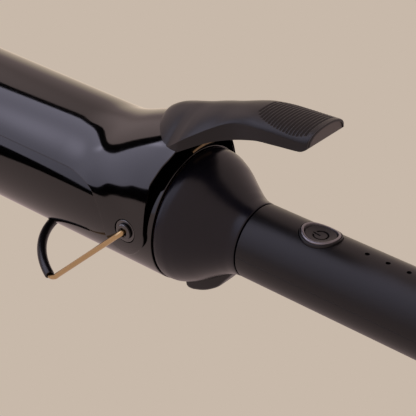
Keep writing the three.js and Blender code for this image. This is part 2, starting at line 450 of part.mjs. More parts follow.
// ---------------------------------------------------------------- thumb lever
const LV = {
  top: table([[-15.4, 34.6], [-15.1, 35.2], [-14.7, 35.9], [-14, 36.9], [-13, 37.9], [-11.2, 39.2], [-9, 40.4], [-6, 41.5], [-2, 42.9], [2, 44.2], [8, 46.45], [14, 48.55], [20.5, 50.8], [26, 51.9], [33, 52.5], [41, 53.1], [46, 53.5], [49, 53.9], [50, 54.0]]),
  yf: table([[-15.4, 0.4], [-15.2, 1.3], [-14.8, 2.7], [-14, 4.75], [-12.5, 7.2], [-10.4, 10.0], [-9.4, 11.1], [-7.5, 12.9], [-5.2, 14.5], [-3, 15.3], [0, 15.85], [2, 15.9], [4, 15.2], [6, 14.2], [8, 13.0], [10, 11.8], [12, 10.75], [14.5, 9.75], [17, 9.1], [20, 8.85], [26, 9.5], [32, 10.15], [46, 10.3], [49, 10.1], [50, 9.8]]),
  zf: table([[-15.4, 34.1], [-12, 34.0], [-9.4, 33.3], [-5.2, 32.1], [-3, 31.9], [-1.5, 32.5], [0.47, 34.0], [1.93, 35.29], [3.16, 36.29], [4.44, 37.28], [5.6, 38.14], [6.73, 38.95], [7.79, 39.67], [8.81, 40.36], [10.28, 41.36], [11.68, 42.28], [13.58, 43.51], [15.39, 44.49], [17.2, 45.28], [19.09, 45.97], [21, 46.5], [26, 47.6], [33, 48.7], [41, 49.2], [47, 49.4], [50, 49.6]]),
  yb: table([[-15.4, 0.5], [-15.2, 1.5], [-14.8, 2.9], [-14, 4.95], [-12.5, 7.4], [-10.4, 10.2], [-9.4, 11.3], [-7.5, 13.1], [-5.2, 14.7], [-3, 15.5], [0, 16.05], [2, 16.1], [4, 15.5], [6, 14.55], [8, 13.4], [10, 12.2], [12, 11.15], [14.5, 10.15], [17, 9.5], [20, 9.2], [27, 9.8], [32, 10.35], [46, 10.5], [49, 10.3], [50, 10.0]]),
  zb: table([[-15.4, 24], [-5, 26], [0, 29.5], [1.93, 31.53], [3.17, 32.38], [4.46, 33.18], [5.61, 33.84], [6.73, 34.49], [7.79, 35.12], [8.8, 35.71], [10.28, 36.56], [11.68, 37.16], [13.58, 37.96], [15.39, 38.7], [17.2, 39.4], [19.09, 40.17], [21.7, 41.2], [24.4, 42.3], [27.4, 43.4], [30.3, 44.5], [35.7, 45.3], [39.5, 45.9], [43.4, 46.4], [46.9, 46.9], [49.2, 48.3], [50, 49.2]]),
  p: table([[-15.4, 1.9], [-7, 1.88], [-2, 1.76], [2, 1.66], [6, 1.76], [11, 1.9], [13, 1.9], [50, 2.3]]),
};
function leverSection(x, inset, s) {
  // s in [0, 1] from the left bottom edge over the crown to the right bottom edge
  const yf = LV.yf(x) - inset, zf = LV.zf(x) - inset * 0.3, zt = LV.top(x) - inset, yb = LV.yb(x) - inset, p = LV.p(x);
  const zb = LV.zb(x) - (inset > 0 ? 6 : 0);
  const m = s < 0.5 ? -1 : 1, t = Math.abs(s - 0.5) * 2;
  if (t <= 0.8) { const q = Math.sin((t / 0.8) * Math.PI / 2); return [m * yf * q, zf + (zt - zf) * (1 - Math.pow(q, p))]; }
  const k = (t - 0.8) / 0.2;
  return [m * lerp(yf, yb, k), lerp(zf, zb, k)];
}
function leverSolid(x0, x1, inset, nu, nv) {
  const f = (u, v, target) => {
    const e = 1 / nu;
    const inside = u > 1e-9 && u < 1 - 1e-9;
    const uu = Math.min(1, Math.max(0, (u - e) / (1 - 2 * e)));
    const x = lerp(x0, x1, Math.pow(uu, 1.25));
    const [y, z] = leverSection(x, inset, v);
    if (inside) target.set(x, y, z);
    else { // end wall folds flat onto the middle line of the section
      const [, zbot] = leverSection(x, inset, 0);
      target.set(x, 0, (zbot + leverSection(x, inset, 0.5)[1]) / 2);
    }
  };
  const g = new ParametricGeometry(f, nu, nv);
  // floor between the two bottom edges
  const floor = [];
  const ring = [];
  for (let i = 0; i <= nu; i++) { const a = new THREE.Vector3(), b = new THREE.Vector3(); f(i / nu, 0, a); f(i / nu, 1, b); ring.push([a, b]); }
  for (let i = 0; i < nu; i++) { const [a, b] = ring[i], [c, d] = ring[i + 1]; floor.push(a, b, d, a, d, c); }
  const fg = new THREE.BufferGeometry().setFromPoints(floor);
  const main = g.toNonIndexed();
  for (const n of ['normal', 'uv']) main.deleteAttribute(n);
  return BGU.mergeGeometries([main, fg]);
}
{
  let lever = solid(leverSolid(-15.4, 50, 0, 30, 20));
  // underside follows the clamp
  const under = closedShell((x, th) => clampR(x, th) + GAP, (x, th) => 5, -30, 2.2, 70, 22, 40);
  lever = lever.subtract(solid(under));
  // hollow underside behind the seat
  lever = lever.subtract(solid(leverSolid(1.0, 48.2, 1.9, 9, 10)));
  for (const x of LEVER_SCREW_X) lever = lever.subtract(solid(turnedZ([[28, 0], [28, 1.35], [screwSeat(x) + 4.6, 1.35], [screwSeat(x) + 4.6, 0]], x, 0, 12)));
  add('thumb_lever', lever, SOFT_BLACK());
}
for (const [i, x] of [[1, LEVER_SCREW_X[0]], [2, LEVER_SCREW_X[1]]]) {
  const seat = screwSeat(x);
  add(`lever_screw_${i}`, turnedZ([[seat - 1.3, 0], [seat - 1.3, 1.6], [seat - 0.9, 2.3], [seat, 2.3], [seat, 1.05], [seat + 3.6, 1.05], [seat + 4.1, 0]], x, 0, 12), DARK_STEEL());
}

// hairpin leaf between the barrel and the rear of the clamp
{
  const line = [[-8.5, 25.6], [-5, 25.6], [-1.9, 25.65], [0.0, 26.1], [1.0, 26.8], [1.35, 27.6], [0.95, 28.25], [-0.3, 28.6], [-2.6, 29.0], [-5.2, 29.9], [-8.2, 31.3], [-10.6, 32.25], [-12.4, 32.3]];
  const up = [], dn = [];
  for (let i = 0; i < line.length; i++) {
    const a = line[Math.max(0, i - 1)], b = line[Math.min(line.length - 1, i + 1)];
    const l = Math.hypot(b[0] - a[0], b[1] - a[1]); const nx = -(b[1] - a[1]) / l * 0.22, nz = (b[0] - a[0]) / l * 0.22;
    up.push([line[i][0] + nx, line[i][1] + nz]); dn.push([line[i][0] - nx, line[i][1] - nz]);
  }
  // the leaf is rolled to the curve of the barrel
  const flat = new THREE.ExtrudeGeometry(new THREE.Shape([...up, ...dn.reverse()].map(([a, b]) => new THREE.Vector2(a, b))), { depth: 11, steps: 5, bevelEnabled: false });
  const p = flat.attributes.position;
  for (let i = 0; i < p.count; i++) {
    const x = p.getX(i), r = p.getY(i), s = (p.getZ(i) - 5.5) / 25.5;
    p.setXYZ(i, x, r * Math.sin(s), r * Math.cos(s));
  }
  add('clamp_spring', flat, GOLD_WIRE());
}

// ---------------------------------------------------------------- wire stand
const half = STAND_Y, sag = BAR_SAG, barRad = (half * half + sag * sag) / (2 * sag), barAng = Math.asin(half / barRad);
function barPoint(t) { // t from -1 to 1 across the bar
  const a = t * barAng, u = barRad * Math.cos(a) - (barRad - sag);
  return [CORNER.x - u * Math.cos(BAR_LIFT * D), barRad * Math.sin(a), CORNER.z + u * Math.sin(BAR_LIFT * D)];
}
{
  const legDir = new THREE.Vector3(CORNER.x - PIVOT_X, LEG_Y - STAND_Y, CORNER.z).normalize();
  const P = [];
  const nearLeg = [];
  nearLeg.push([PIVOT_X, -25.4, 0], [PIVOT_X, -26.6, 0], [PIVOT_X, -27.7, 0]);
  nearLeg.push([PIVOT_X + legDir.x * 0.35, -28.55, legDir.z * 0.35]);
  nearLeg.push([PIVOT_X + legDir.x * 1.3, -LEG_Y + 0.03, legDir.z * 1.3]);
  for (const k of [4, 12, 24, 36, 43]) nearLeg.push([PIVOT_X + legDir.x * k, -LEG_Y + legDir.y * k, legDir.z * k]);
  const len = Math.hypot(CORNER.x - PIVOT_X, CORNER.z, LEG_Y - STAND_Y);
  nearLeg.push([PIVOT_X + legDir.x * (len - 2.2), -LEG_Y + legDir.y * (len - 2.2), legDir.z * (len - 2.2)]);
  const bar = [];
  for (let i = 0; i <= 24; i++) bar.push(barPoint(lerp(-0.965, 0.965, i / 24)));
  const farLeg = nearLeg.map(([x, y, z]) => [x, -y, z]).reverse();
  P.push(...nearLeg, ...bar, ...farLeg);
  add('stand_wire', swept(P, WIRE_R, 0, 8, 70), GOLD_WIRE());
  const S = [];
  for (let i = 0; i <= 24; i++) S.push(barPoint(lerp(-0.95, 0.95, i / 24)));
  add('stand_sleeve', swept(S, SLEEVE_R, 1.3, 10, 20), mat(0x1a1a1c, 0.55));
}

// ---------------------------------------------------------------- standing attitude
// The tilt puts the stand's corners and the tail's lower rim on one level plane.
const object = new THREE.Group();
const named = (n) => iron.children.find((m) => m.name === n);
function lowest(mesh, angle) {
  const p = mesh.geometry.attributes.position;
  let z = Infinity;
  for (let i = 0; i < p.count; i++) z = Math.min(z, -p.getX(i) * Math.sin(angle) + p.getZ(i) * Math.cos(angle));
  return z;
}
let tiltLow = 0, tiltHigh = 0.2;
for (let i = 0; i < 40; i++) {
  const tilt = (tiltLow + tiltHigh) / 2;
  if (lowest(named('stand_sleeve'), tilt) < lowest(named('end_cap'), tilt)) tiltLow = tilt; else tiltHigh = tilt;
}
iron.rotation.y = (tiltLow + tiltHigh) / 2;
iron.updateMatrixWorld(true);
const bounds = new THREE.Box3().setFromObject(iron, true);
iron.position.set(-(bounds.min.x + bounds.max.x) / 2, -(bounds.min.y + bounds.max.y) / 2, -bounds.min.z);
object.add(iron);
object.updateMatrixWorld(true);

export default object;
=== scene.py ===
import json
import math

import bmesh
import bpy
import numpy as np
from mathutils import Matrix, Vector


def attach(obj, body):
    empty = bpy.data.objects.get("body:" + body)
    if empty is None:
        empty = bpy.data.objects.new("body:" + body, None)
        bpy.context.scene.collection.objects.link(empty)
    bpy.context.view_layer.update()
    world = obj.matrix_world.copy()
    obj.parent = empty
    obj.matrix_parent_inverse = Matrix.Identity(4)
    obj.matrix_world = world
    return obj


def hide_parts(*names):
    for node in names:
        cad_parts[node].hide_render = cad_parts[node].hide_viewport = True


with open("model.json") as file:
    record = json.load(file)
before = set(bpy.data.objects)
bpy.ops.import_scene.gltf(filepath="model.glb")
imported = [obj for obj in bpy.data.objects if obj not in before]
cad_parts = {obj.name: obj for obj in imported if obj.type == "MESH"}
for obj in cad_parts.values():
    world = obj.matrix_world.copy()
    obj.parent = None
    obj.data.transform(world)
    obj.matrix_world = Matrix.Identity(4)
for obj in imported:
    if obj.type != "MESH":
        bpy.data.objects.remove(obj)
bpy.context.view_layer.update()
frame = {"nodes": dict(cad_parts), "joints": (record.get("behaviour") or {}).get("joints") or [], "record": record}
NODES = frame["nodes"]

# ------------------------------------------------------------------ the tipped frame
# Pieces are laid out in millimetres with the barrel's axis on X and the seam between
# barrel and bulb at x = 0, then placed in the row frame, where the iron is tipped.
JOINT = {j["name"]: j for j in frame["joints"]}
PIVOT_X = -10.8
_ax = JOINT["cord_swivel"]["axis"]
_pv = JOINT["clamp_hinge"]["pos_m"]
COS, SIN = _ax[0], -_ax[2]
PX = _pv[0] * 1000 - PIVOT_X * COS
PZ = _pv[2] * 1000 + PIVOT_X * SIN
ROT = np.array([[COS, 0, SIN], [0, 1, 0], [-SIN, 0, COS]])
OFF = np.array([PX, 0.0, PZ])


def place(P):
    """Working millimetres to row-frame metres."""
    return (np.asarray(P, float) @ ROT.T + OFF) / 1000.0


def turn(d):
    """Working direction to row-frame direction."""
    return np.asarray(d, float) @ ROT.T


D = math.pi / 180


def lerp(a, b, t):
    return a + (b - a) * t


def smooth(t):
    s = np.clip(t, 0, 1)
    return s * s * (3 - 2 * s)


class Table:
    """Monotone cubic through rows of (x, value)."""

    def __init__(self, rows):
        r = np.array(rows, float)
        self.x, self.y = r[:, 0], r[:, 1]
        d = np.diff(self.y) / np.diff(self.x)
        m = np.empty(len(r))
        m[0], m[-1] = d[0], d[-1]
        for i in range(1, len(r) - 1):
            m[i] = 0 if d[i - 1] * d[i] <= 0 else 2 * d[i - 1] * d[i] / (d[i - 1] + d[i])
        self.m = m

    def __call__(self, q):
        q = np.clip(np.asarray(q, float), self.x[0], self.x[-1])
        i = np.clip(np.searchsorted(self.x, q, side="right") - 1, 0, len(self.x) - 2)
        h = self.x[i + 1] - self.x[i]
        t = (q - self.x[i]) / h
        t2, t3 = t * t, t * t * t
        return ((2 * t3 - 3 * t2 + 1) * self.y[i] + (t3 - 2 * t2 + t) * h * self.m[i]
                + (-2 * t3 + 3 * t2) * self.y[i + 1] + (t3 - t2) * h * self.m[i + 1])


# ------------------------------------------------------------------ materials
def nodes_of(mat):
    mat.use_nodes = True
    nt = mat.node_tree
    for n in list(nt.nodes):
        nt.nodes.remove(n)
    return nt


def mix_color(nt, fac, a, b):
    m = nt.nodes.new("ShaderNodeMix")
    m.data_type = "RGBA"
    m.inputs[6].default_value = (*a, 1)
    m.inputs[7].default_value = (*b, 1)
    nt.links.new(fac, m.inputs[0])
    return m.outputs[2]


def ramp(nt, fac, lo, hi):
    r = nt.nodes.new("ShaderNodeMapRange")
    r.inputs["To Min"].default_value = lo
    r.inputs["To Max"].default_value = hi
    nt.links.new(fac, r.inputs["Value"])
    return r.outputs[0]


def noise(nt, vec, scale, detail=3.0, rough=0.55):
    n = nt.nodes.new("ShaderNodeTexNoise")
    n.inputs["Scale"].default_value = scale
    n.inputs["Detail"].default_value = detail
    n.inputs["Roughness"].default_value = rough
    nt.links.new(vec, n.inputs["Vector"])
    return n.outputs["Fac"]


def material(name, dark, light, rough, grain, bump, metallic=0.0, ior=1.5, spec=0.5, coat=0.0, coat_rough=0.1,
             sheen=0.0, stretch=(1, 1, 1), patch=18.0, bump_mm=0.02, coat_ior=1.5):
    """A procedural surface: broad colour drift, fine grain, uneven roughness and a fine bump."""
    mat = bpy.data.materials.new(name)
    nt = nodes_of(mat)
    out = nt.nodes.new("ShaderNodeOutputMaterial")
    b = nt.nodes.new("ShaderNodeBsdfPrincipled")
    nt.links.new(b.outputs[0], out.inputs[0])
    tc = nt.nodes.new("ShaderNodeTexCoord")
    mp = nt.nodes.new("ShaderNodeMapping")
    mp.inputs["Scale"].default_value = stretch
    nt.links.new(tc.outputs["Object"], mp.inputs["Vector"])
    v = mp.outputs[0]
    broad = noise(nt, v, patch, 2.0)
    fine = noise(nt, v, grain, 4.0, 0.6)
    add = nt.nodes.new("ShaderNodeMath")
    add.operation = "MULTIPLY_ADD"
    nt.links.new(fine, add.inputs[0])
    add.inputs[1].default_value = 0.45
    nt.links.new(ramp(nt, broad, -0.1, 0.65), add.inputs[2])
    nt.links.new(mix_color(nt, add.outputs[0], dark, light), b.inputs["Base Color"])
    nt.links.new(ramp(nt, fine, rough[0], rough[1]), b.inputs["Roughness"])
    if bump > 0:
        bp = nt.nodes.new("ShaderNodeBump")
        bp.inputs["Strength"].default_value = bump
        bp.inputs["Distance"].default_value = bump_mm / 1000
        nt.links.new(noise(nt, v, grain * 1.7, 3.0, 0.6), bp.inputs["Height"])
        nt.links.new(bp.outputs[0], b.inputs["Normal"])
    b.inputs["Metallic"].default_value = metallic
    b.inputs["IOR"].default_value = ior
    b.inputs["Specular IOR Level"].default_value = spec
    b.inputs["Coat Weight"].default_value = coat
    b.inputs["Coat Roughness"].default_value = coat_rough
    b.inputs["Coat IOR"].default_value = coat_ior
    b.inputs["Sheen Weight"].default_value = sheen
    return mat


GLOSS = material("ceramic_gloss", (0.0006, 0.0006, 0.0007), (0.0018, 0.0016, 0.0016), (0.055, 0.08), 420, 0.06, ior=1.63, patch=30, bump_mm=0.01)
SOFT = material("soft_touch", (0.0026, 0.0026, 0.0032), (0.0056, 0.0055, 0.0064), (0.33, 0.41), 2600, 0.35, ior=1.5, spec=0.42, patch=40, bump_mm=0.03)
BULB_SOFT = material("soft_touch_bulb", (0.0024, 0.0026, 0.0066), (0.0050, 0.0052, 0.0098), (0.26, 0.32), 2600, 0.25, ior=1.5, spec=0.42, patch=40, bump_mm=0.03)
PLASTIC = material("black_plastic", (0.006, 0.006, 0.0065), (0.012, 0.012, 0.0125), (0.34, 0.46), 1800, 0.25, patch=45, bump_mm=0.02)
SLEEVE = material("sleeve_rubber", (0.002, 0.002, 0.0028), (0.005, 0.005, 0.0062), (0.24, 0.34), 1500, 0.3, patch=60, bump_mm=0.03)
GOLD = material("gold_wire", (0.47, 0.34, 0.165), (0.64, 0.47, 0.24), (0.13, 0.24), 900, 0.15, metallic=1.0, patch=90, stretch=(0.35, 1, 0.35), bump_mm=0.01)
DARK_STEEL = material("dark_steel", (0.06, 0.055, 0.052), (0.12, 0.11, 0.105), (0.22, 0.34), 1200, 0.15, metallic=1.0, patch=80, bump_mm=0.01)
STEEL = material("plain_steel", (0.42, 0.42, 0.43), (0.58, 0.58, 0.59), (0.28, 0.42), 1200, 0.2, metallic=1.0, patch=80, bump_mm=0.01)
ALU = material("aluminium", (0.55, 0.56, 0.57), (0.72, 0.73, 0.74), (0.3, 0.45), 900, 0.2, metallic=1.0, stretch=(0.2, 1, 1), bump_mm=0.01)
TRIM = material("satin_trim", (0.20, 0.19, 0.20), (0.29, 0.28, 0.29), (0.3, 0.4), 1600, 0.15, metallic=0.75, patch=80, bump_mm=0.01)
KEY = material("button_cap", (0.009, 0.0085, 0.009), (0.014, 0.013, 0.0135), (0.4, 0.5), 2400, 0.25, patch=50, bump_mm=0.02)
INK = material("mark_ink", (0.0004, 0.0004, 0.0004), (0.0012, 0.0011, 0.0012), (0.6, 0.75), 1800, 0.1, spec=0.1, bump_mm=0.01)
SCREW = material("blackened_steel", (0.0012, 0.0011, 0.0012), (0.0042, 0.0038, 0.0038), (0.08, 0.16), 1400, 0.12, ior=1.9, spec=0.6, patch=110, bump_mm=0.01)
LENS = material("lamp_lens", (0.0004, 0.0004, 0.0005), (0.0012, 0.0011, 0.0012), (0.3, 0.4), 900, 0.1, ior=1.3, spec=0.15, patch=90, bump_mm=0.01)
# Spring leaf: its colour is painted dark as the shade under the clamp, and its fine high-contrast patches are painted
# broken glints.
LEAF_PAINTED_SHADE_GLINTS = material("spring_leaf_painted_shade_and_glints", (0.03, 0.021, 0.012), (0.30, 0.22, 0.12), (0.08, 0.2), 900, 0.15, metallic=1.0, patch=420, bump_mm=0.01)
BRASS = material("contact_brass", (0.5, 0.33, 0.12), (0.66, 0.46, 0.2), (0.2, 0.34), 1000, 0.15, metallic=1.0, bump_mm=0.01)
PHENOLIC = material("phenolic", (0.07, 0.035, 0.02), (0.13, 0.07, 0.045), (0.45, 0.6), 1500, 0.3, bump_mm=0.03)
CERAMIC = material("heater_ceramic", (0.68, 0.66, 0.6), (0.82, 0.8, 0.75), (0.45, 0.6), 1500, 0.2, bump_mm=0.02)
BOARD = material("circuit_board", (0.01, 0.07, 0.035), (0.02, 0.12, 0.06), (0.3, 0.45), 700, 0.2, bump_mm=0.02)
PART = material("moulded_part", (0.008, 0.008, 0.009), (0.016, 0.016, 0.017), (0.35, 0.5), 1600, 0.25, bump_mm=0.02)
FILM = material("film_part", (0.22, 0.13, 0.03), (0.36, 0.22, 0.06), (0.25, 0.4), 1200, 0.2, bump_mm=0.02)
# Lever end wall: a lighter brown colour that is a painted reflection of the pale backdrop.
END_WALL_PAINTED_REFLECTION = material("lever_end_painted_reflection", (0.048, 0.041, 0.036), (0.075, 0.064, 0.057), (0.3, 0.42), 1500, 0.2, patch=60, bump_mm=0.02)
LEAD = material("silicone_lead", (0.5, 0.47, 0.42), (0.66, 0.63, 0.57), (0.45, 0.6), 1300, 0.2, bump_mm=0.02)
BEAD = material("glass_bead", (0.3, 0.1, 0.03), (0.5, 0.2, 0.06), (0.1, 0.2), 900, 0.1, bump_mm=0.01)
SLOT_LOOK = {
    "gloss_ceramic": GLOSS, "soft_touch": SOFT, "black_plastic": PLASTIC, "sleeve_black": SLEEVE, "gold_wire": GOLD, "gold_leaf": LEAF_PAINTED_SHADE_GLINTS,
    "dark_steel": DARK_STEEL, "steel": STEEL, "aluminium": ALU, "ceramic": CERAMIC, "phenolic": PHENOLIC, "glass_bead": BEAD, "board": BOARD,
    "component": PART, "film_cap": FILM, "lamp_lens": LENS, "trim": TRIM, "contact": BRASS, "lead": LEAD,
}
NODE_SLOT = {s["node"]: s["material_slot"] for s in frame["record"]["subparts"]}
for _n, _o in NODES.items():
    _m = SLOT_LOOK[NODE_SLOT[_n]]
    if not _o.data.materials:
        _o.data.materials.append(_m)
    for _i in range(len(_o.material_slots)):
        _o.material_slots[_i].material = _m

# ------------------------------------------------------------------ mesh helpers
BODY_OF = {n: b for b, ns in frame["record"]["behaviour"]["bodies"].items() for n in ns}


def make(name, V, F, mat=None, sharp=32, normals=None):
    """A mesh object from working-frame vertices in mm. normals(P) gives analytic directions, or None where there are none."""
    me = bpy.data.meshes.new(name)
    me.from_pydata([tuple(p) for p in place(V)], [], [tuple(int(i) for i in f) for f in F])
    me.validate()
    bm = bmesh.new()
    bm.from_mesh(me)
    bmesh.ops.recalc_face_normals(bm, faces=bm.faces)
    if bm.calc_volume() < 0:
        bmesh.ops.reverse_faces(bm, faces=bm.faces)
    bm.to_mesh(me)
    bm.free()
    o = bpy.data.objects.new(name, me)
    bpy.context.scene.collection.objects.link(o)
    if mat is not None:
        me.materials.append(mat)
    return finish_mesh(o, sharp, normals)


def finish_mesh(o, sharp=32, normals=None):
    me = o.data
    for p in me.polygons:
        p.use_smooth = True
    if normals is None:
        me.set_sharp_from_angle(angle=math.radians(sharp))
        return o
    n = len(me.vertices)
    co = np.zeros(n * 3)
    me.vertices.foreach_get("co", co)
    co = co.reshape(-1, 3)
    work = (co * 1000 - OFF) @ ROT
    nv = normals(work)
    nv = turn(nv)
    me.set_sharp_from_angle(angle=math.radians(sharp))
    loops = np.zeros(len(me.loops), int)
    me.loops.foreach_get("vertex_index", loops)
    fn = np.zeros(len(me.polygons) * 3)
    me.polygons.foreach_get("normal", fn)
    fn = fn.reshape(-1, 3)
    tot = np.zeros(len(me.polygons), int)
    me.polygons.foreach_get("loop_total", tot)
    per = np.repeat(fn, tot, axis=0)
    cn = nv[loops]
    good = (cn * per).sum(1) > 0.86
    cn[~good] = 0
    me.normals_split_custom_set([tuple(v) for v in cn])
    return o


def volume_of(V, F):
    V = np.asarray(V, float)
    v = 0.0
    for f in F:
        a = V[f[0]]
        for i in range(1, len(f) - 1):
            v += np.dot(a, np.cross(V[f[i]], V[f[i + 1]])) / 6
    return v


def outward(V, F):
    return F if volume_of(V, F) > 0 else [tuple(reversed(f)) for f in F]


def grid_faces(nu, nv, wrap_u=False, wrap_v=False, base=0):
    F = []
    for i in range(nu if wrap_u else nu - 1):
        for j in range(nv if wrap_v else nv - 1):
            a = base + i * nv + j
            b = base + ((i + 1) % nu) * nv + j
            c = base + ((i + 1) % nu) * nv + (j + 1) % nv
            d = base + i * nv + (j + 1) % nv
            F.append((a, b, c, d))
    return F


def rounded(profile, radii, n=5, closed=True):
    """Rounds the corners of a polyline. radii: one number, or one per corner."""
    P = [np.array(p, float) for p in profile]
    if not hasattr(radii, "__len__"):
        radii = [radii] * len(P)
    out = []
    m = len(P)
    for i in range(m):
        if (not closed and i in (0, m - 1)) or radii[i] <= 0:
            out.append(tuple(P[i]))
            continue
        a, b, c = P[i - 1], P[i], P[(i + 1) % m]
        u, w = a - b, c - b
        lu, lw = np.linalg.norm(u), np.linalg.norm(w)
        u, w = u / lu, w / lw
        ang = math.acos(float(np.clip(u @ w, -1, 1)))
        if ang > math.pi - 0.06 or ang < 0.05:
            out.append(tuple(b))
            continue
        t = min(radii[i] / math.tan(ang / 2), lu * 0.48, lw * 0.48)
        r = t * math.tan(ang / 2)
        mid = (u + w) / np.linalg.norm(u + w)
        cen = b + mid * (r / math.sin(ang / 2))
        s, e = b + u * t, b + w * t
        for k in range(n + 1):
            q = lerp(s, e, k / n) - cen
            q = q / np.linalg.norm(q) * r
            out.append(tuple(cen + q))
    return out


def lathe(name, profile, mat, seg=128, origin=(0, 0, 0), axis="x", sharp=32, arc=None):
    """Closed profile of (along, radius) turned about an axis through origin."""
    P = np.array(profile, float)
    n = len(P)
    th = np.arange(seg) / seg * 2 * math.pi
    V = []
    on_axis = P[:, 1] < 1e-9
    idx = np.zeros((n, seg), int)
    for i in range(n):
        a, r = P[i]
        if on_axis[i]:
            idx[i, :] = len(V)
            V.append((a, 0, 0))
        else:
            idx[i] = np.arange(len(V), len(V) + seg)
            V.extend(zip([a] * seg, -r * np.sin(th), r * np.cos(th)))
    F = []
    for i in range(n):
        k = (i + 1) % n
        if on_axis[i] and on_axis[k]:
            continue
        for j in range(seg):
            q = (j + 1) % seg
            f = [idx[i, j], idx[k, j], idx[k, q], idx[i, q]]
            g = []
            for t in f:
                if t not in g:
                    g.append(int(t))
            if len(g) > 2:
                F.append(tuple(g))
    V = np.array(V, float)
    if axis == "y":
        V = V[:, [1, 0, 2]] * np.array([1, 1, 1])
    elif axis == "z":
        V = V[:, [1, 2, 0]]
    elif axis == "-y":
        V = V[:, [1, 0, 2]] * np.array([1, -1, 1])
    V = V + np.array(origin, float)
    F = outward(V, F)
    return make(name, V, F, mat, sharp) if name else (V, F)


def cut(o, tool, op="DIFFERENCE"):
    """Boolean, applied; the tool goes."""
    m = o.modifiers.new("cut", "BOOLEAN")
    m.object = tool
    m.operation = op
    m.solver = "EXACT"
    dg = bpy.context.evaluated_depsgraph_get()
    me = bpy.data.meshes.new_from_object(o.evaluated_get(dg))
    o.modifiers.clear()
    old = o.data
    mats = [s for s in old.materials]
    o.data = me
    me.materials.clear()
    for s in mats[:1]:
        me.materials.append(s)
    for p in me.polygons:
        p.material_index = 0
    bpy.data.meshes.remove(old)
    bpy.data.objects.remove(tool)
    return o


def prism(name, outline, z0, z1, mat=None):
    """Outline of (x, y) standing on Z."""
    n = len(outline)
    V = [(x, y, z0) for x, y in outline] + [(x, y, z1) for x, y in outline]
    F = [tuple(range(n - 1, -1, -1)), tuple(range(n, 2 * n))]
    F += [(i, (i + 1) % n, n + (i + 1) % n, n + i) for i in range(n)]
    return make(name, V, outward(V, F), mat)


def stand_in(o, node, body=None):
    """The piece rides on its node's body, and takes the node's place."""
    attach(o, body or BODY_OF[node])
    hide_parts(node)
    return o


# ------------------------------------------------------------------ barrel and tip
BARREL_R, WALL = 25.0, 1.2
barrel = lathe("barrel_skin", rounded([(-160, 23.8), (-160, 25.0), (-0.3, 25.0), (-0.3, 23.8)], 0.25, 4), GLOSS, 256)
stand_in(barrel, "barrel_tube")

tip = lathe("cool_tip_shell", rounded([
    (-160.3, 24.85), (-164, 25.0), (-169, 24.6), (-173, 23.4), (-176, 21.0), (-177.5, 17.5), (-178, 14.0), (-178, 3.2), (-175.8, 3.2), (-175.8, 13.5),
    (-172, 20.0), (-150, 21.4), (-150, 23.5), (-159.7, 23.5), (-159.7, 22.9), (-160.3, 22.9)], [0.3, 6, 6, 4, 3, 2.5, 2, 0.4, 0, 0, 0, 0.2, 0.2, 0, 0, 0], 6), PLASTIC, 160)
stand_in(tip, "cool_tip")


# ------------------------------------------------------------------ bulb, handle, foot
HANDLE_R, TAPER, NECK_X, HANDLE_END, CAP_END = 13.45, 0.0036, 26.64, 168.0, 174.0


def handle_r(x):
    return HANDLE_R + TAPER * (np.asarray(x, float) - NECK_X)


BULB = Table([[0.3, 24.45], [0.8, 24.7], [3.3, 24.5], [6.66, 23.35], [9.99, 21.6], [13.32, 19.35], [16.65, 17.15], [19.98, 15.15], [23.31, 13.85], [26.4, 13.45]])
_bx = np.concatenate([[0.3, 0.34, 0.42, 0.55, 0.75, 1.0], np.linspace(1.4, 26.1, 70)])
_br = BULB(_bx)
_br[:6] = 24.62 - np.array([0.42, 0.26, 0.14, 0.06, 0.01, 0.0])
_out = list(zip(_bx, _br)) + [(26.25, 13.42), (26.34, 13.33)]
_in = [(26.34, 11.1), (34, 11.1), (34, 9.4), (23, 9.4), (20, max(9.4, float(BULB(20.4)) - 2.4)), (15, float(BULB(15.4)) - 2.4), (10, float(BULB(10.4)) - 2.4), (4.2, float(BULB(4.6)) - 2.4), (4.2, 11), (0.3, 11)]
bulb = lathe("bulb_shell", _out + _in, BULB_SOFT, 192)
stand_in(bulb, "bulb_housing")


def half_tube(name, x0, x1, sign):
    """Half of the handle's shell with eased edges at the parting line and both ends."""
    gap = 0.03
    nx, nt = 240, 96
    xs = np.concatenate([x0 + np.array([0, 0.03, 0.1, 0.2, 0.35]), np.linspace(x0 + 0.9, x1 - 0.5, nx), x1 - np.array([0.2, 0.1, 0.03, 0])])
    drop = np.zeros(len(xs))
    drop[:5] = [0.3, 0.17, 0.07, 0.02, 0]
    drop[-4:] = [0.02, 0.06, 0.13, 0.2]
    V = []
    rows = []
    for x, dr in zip(xs, drop):
        ro = float(handle_r(x)) - dr
        ri = float(handle_r(x)) - 2.0
        row = []
        a0 = math.asin(gap / ro)
        ease = [(0.0, 0.05), (0.003, 0.018), (0.007, 0.004)]
        angs = [(a0 + e, d) for e, d in ease] + [(a, 0.0) for a in np.linspace(a0 + 0.03, math.pi - a0 - 0.03, nt)] + [(math.pi - a0 - e, d) for e, d in reversed(ease)]
        for a, d in angs:
            row.append((x, -(ro - d) * math.cos(a), sign * (ro - d) * math.sin(a)))
        b0 = math.asin(gap / ri)
        for a in np.linspace(math.pi - b0, b0, 40):
            row.append((x, -ri * math.cos(a), sign * ri * math.sin(a)))
        rows.append(row)
    m = len(rows[0])
    for row in rows:
        V.extend(row)
    F = grid_faces(len(rows), m, wrap_v=True)
    F.append(tuple(range(m)))
    F.append(tuple(range((len(rows) - 1) * m, len(rows) * m))[::-1])
    F = outward(V, F)
    return make(name, V, F, SOFT, 30)


upper = half_tube("handle_top", NECK_X + 0.3, HANDLE_END, 1)
lower = half_tube("handle_bottom", NECK_X + 0.3, HANDLE_END, -1)
BUTTON_X = 51.5
LED_X = [69.7, 77.65, 85.6, 93.55, 101.5]


def ellipse(x, a, b, n=96):
    t = np.arange(n) / n * 2 * math.pi
    return list(zip(x + a * np.cos(t), b * np.sin(t)))


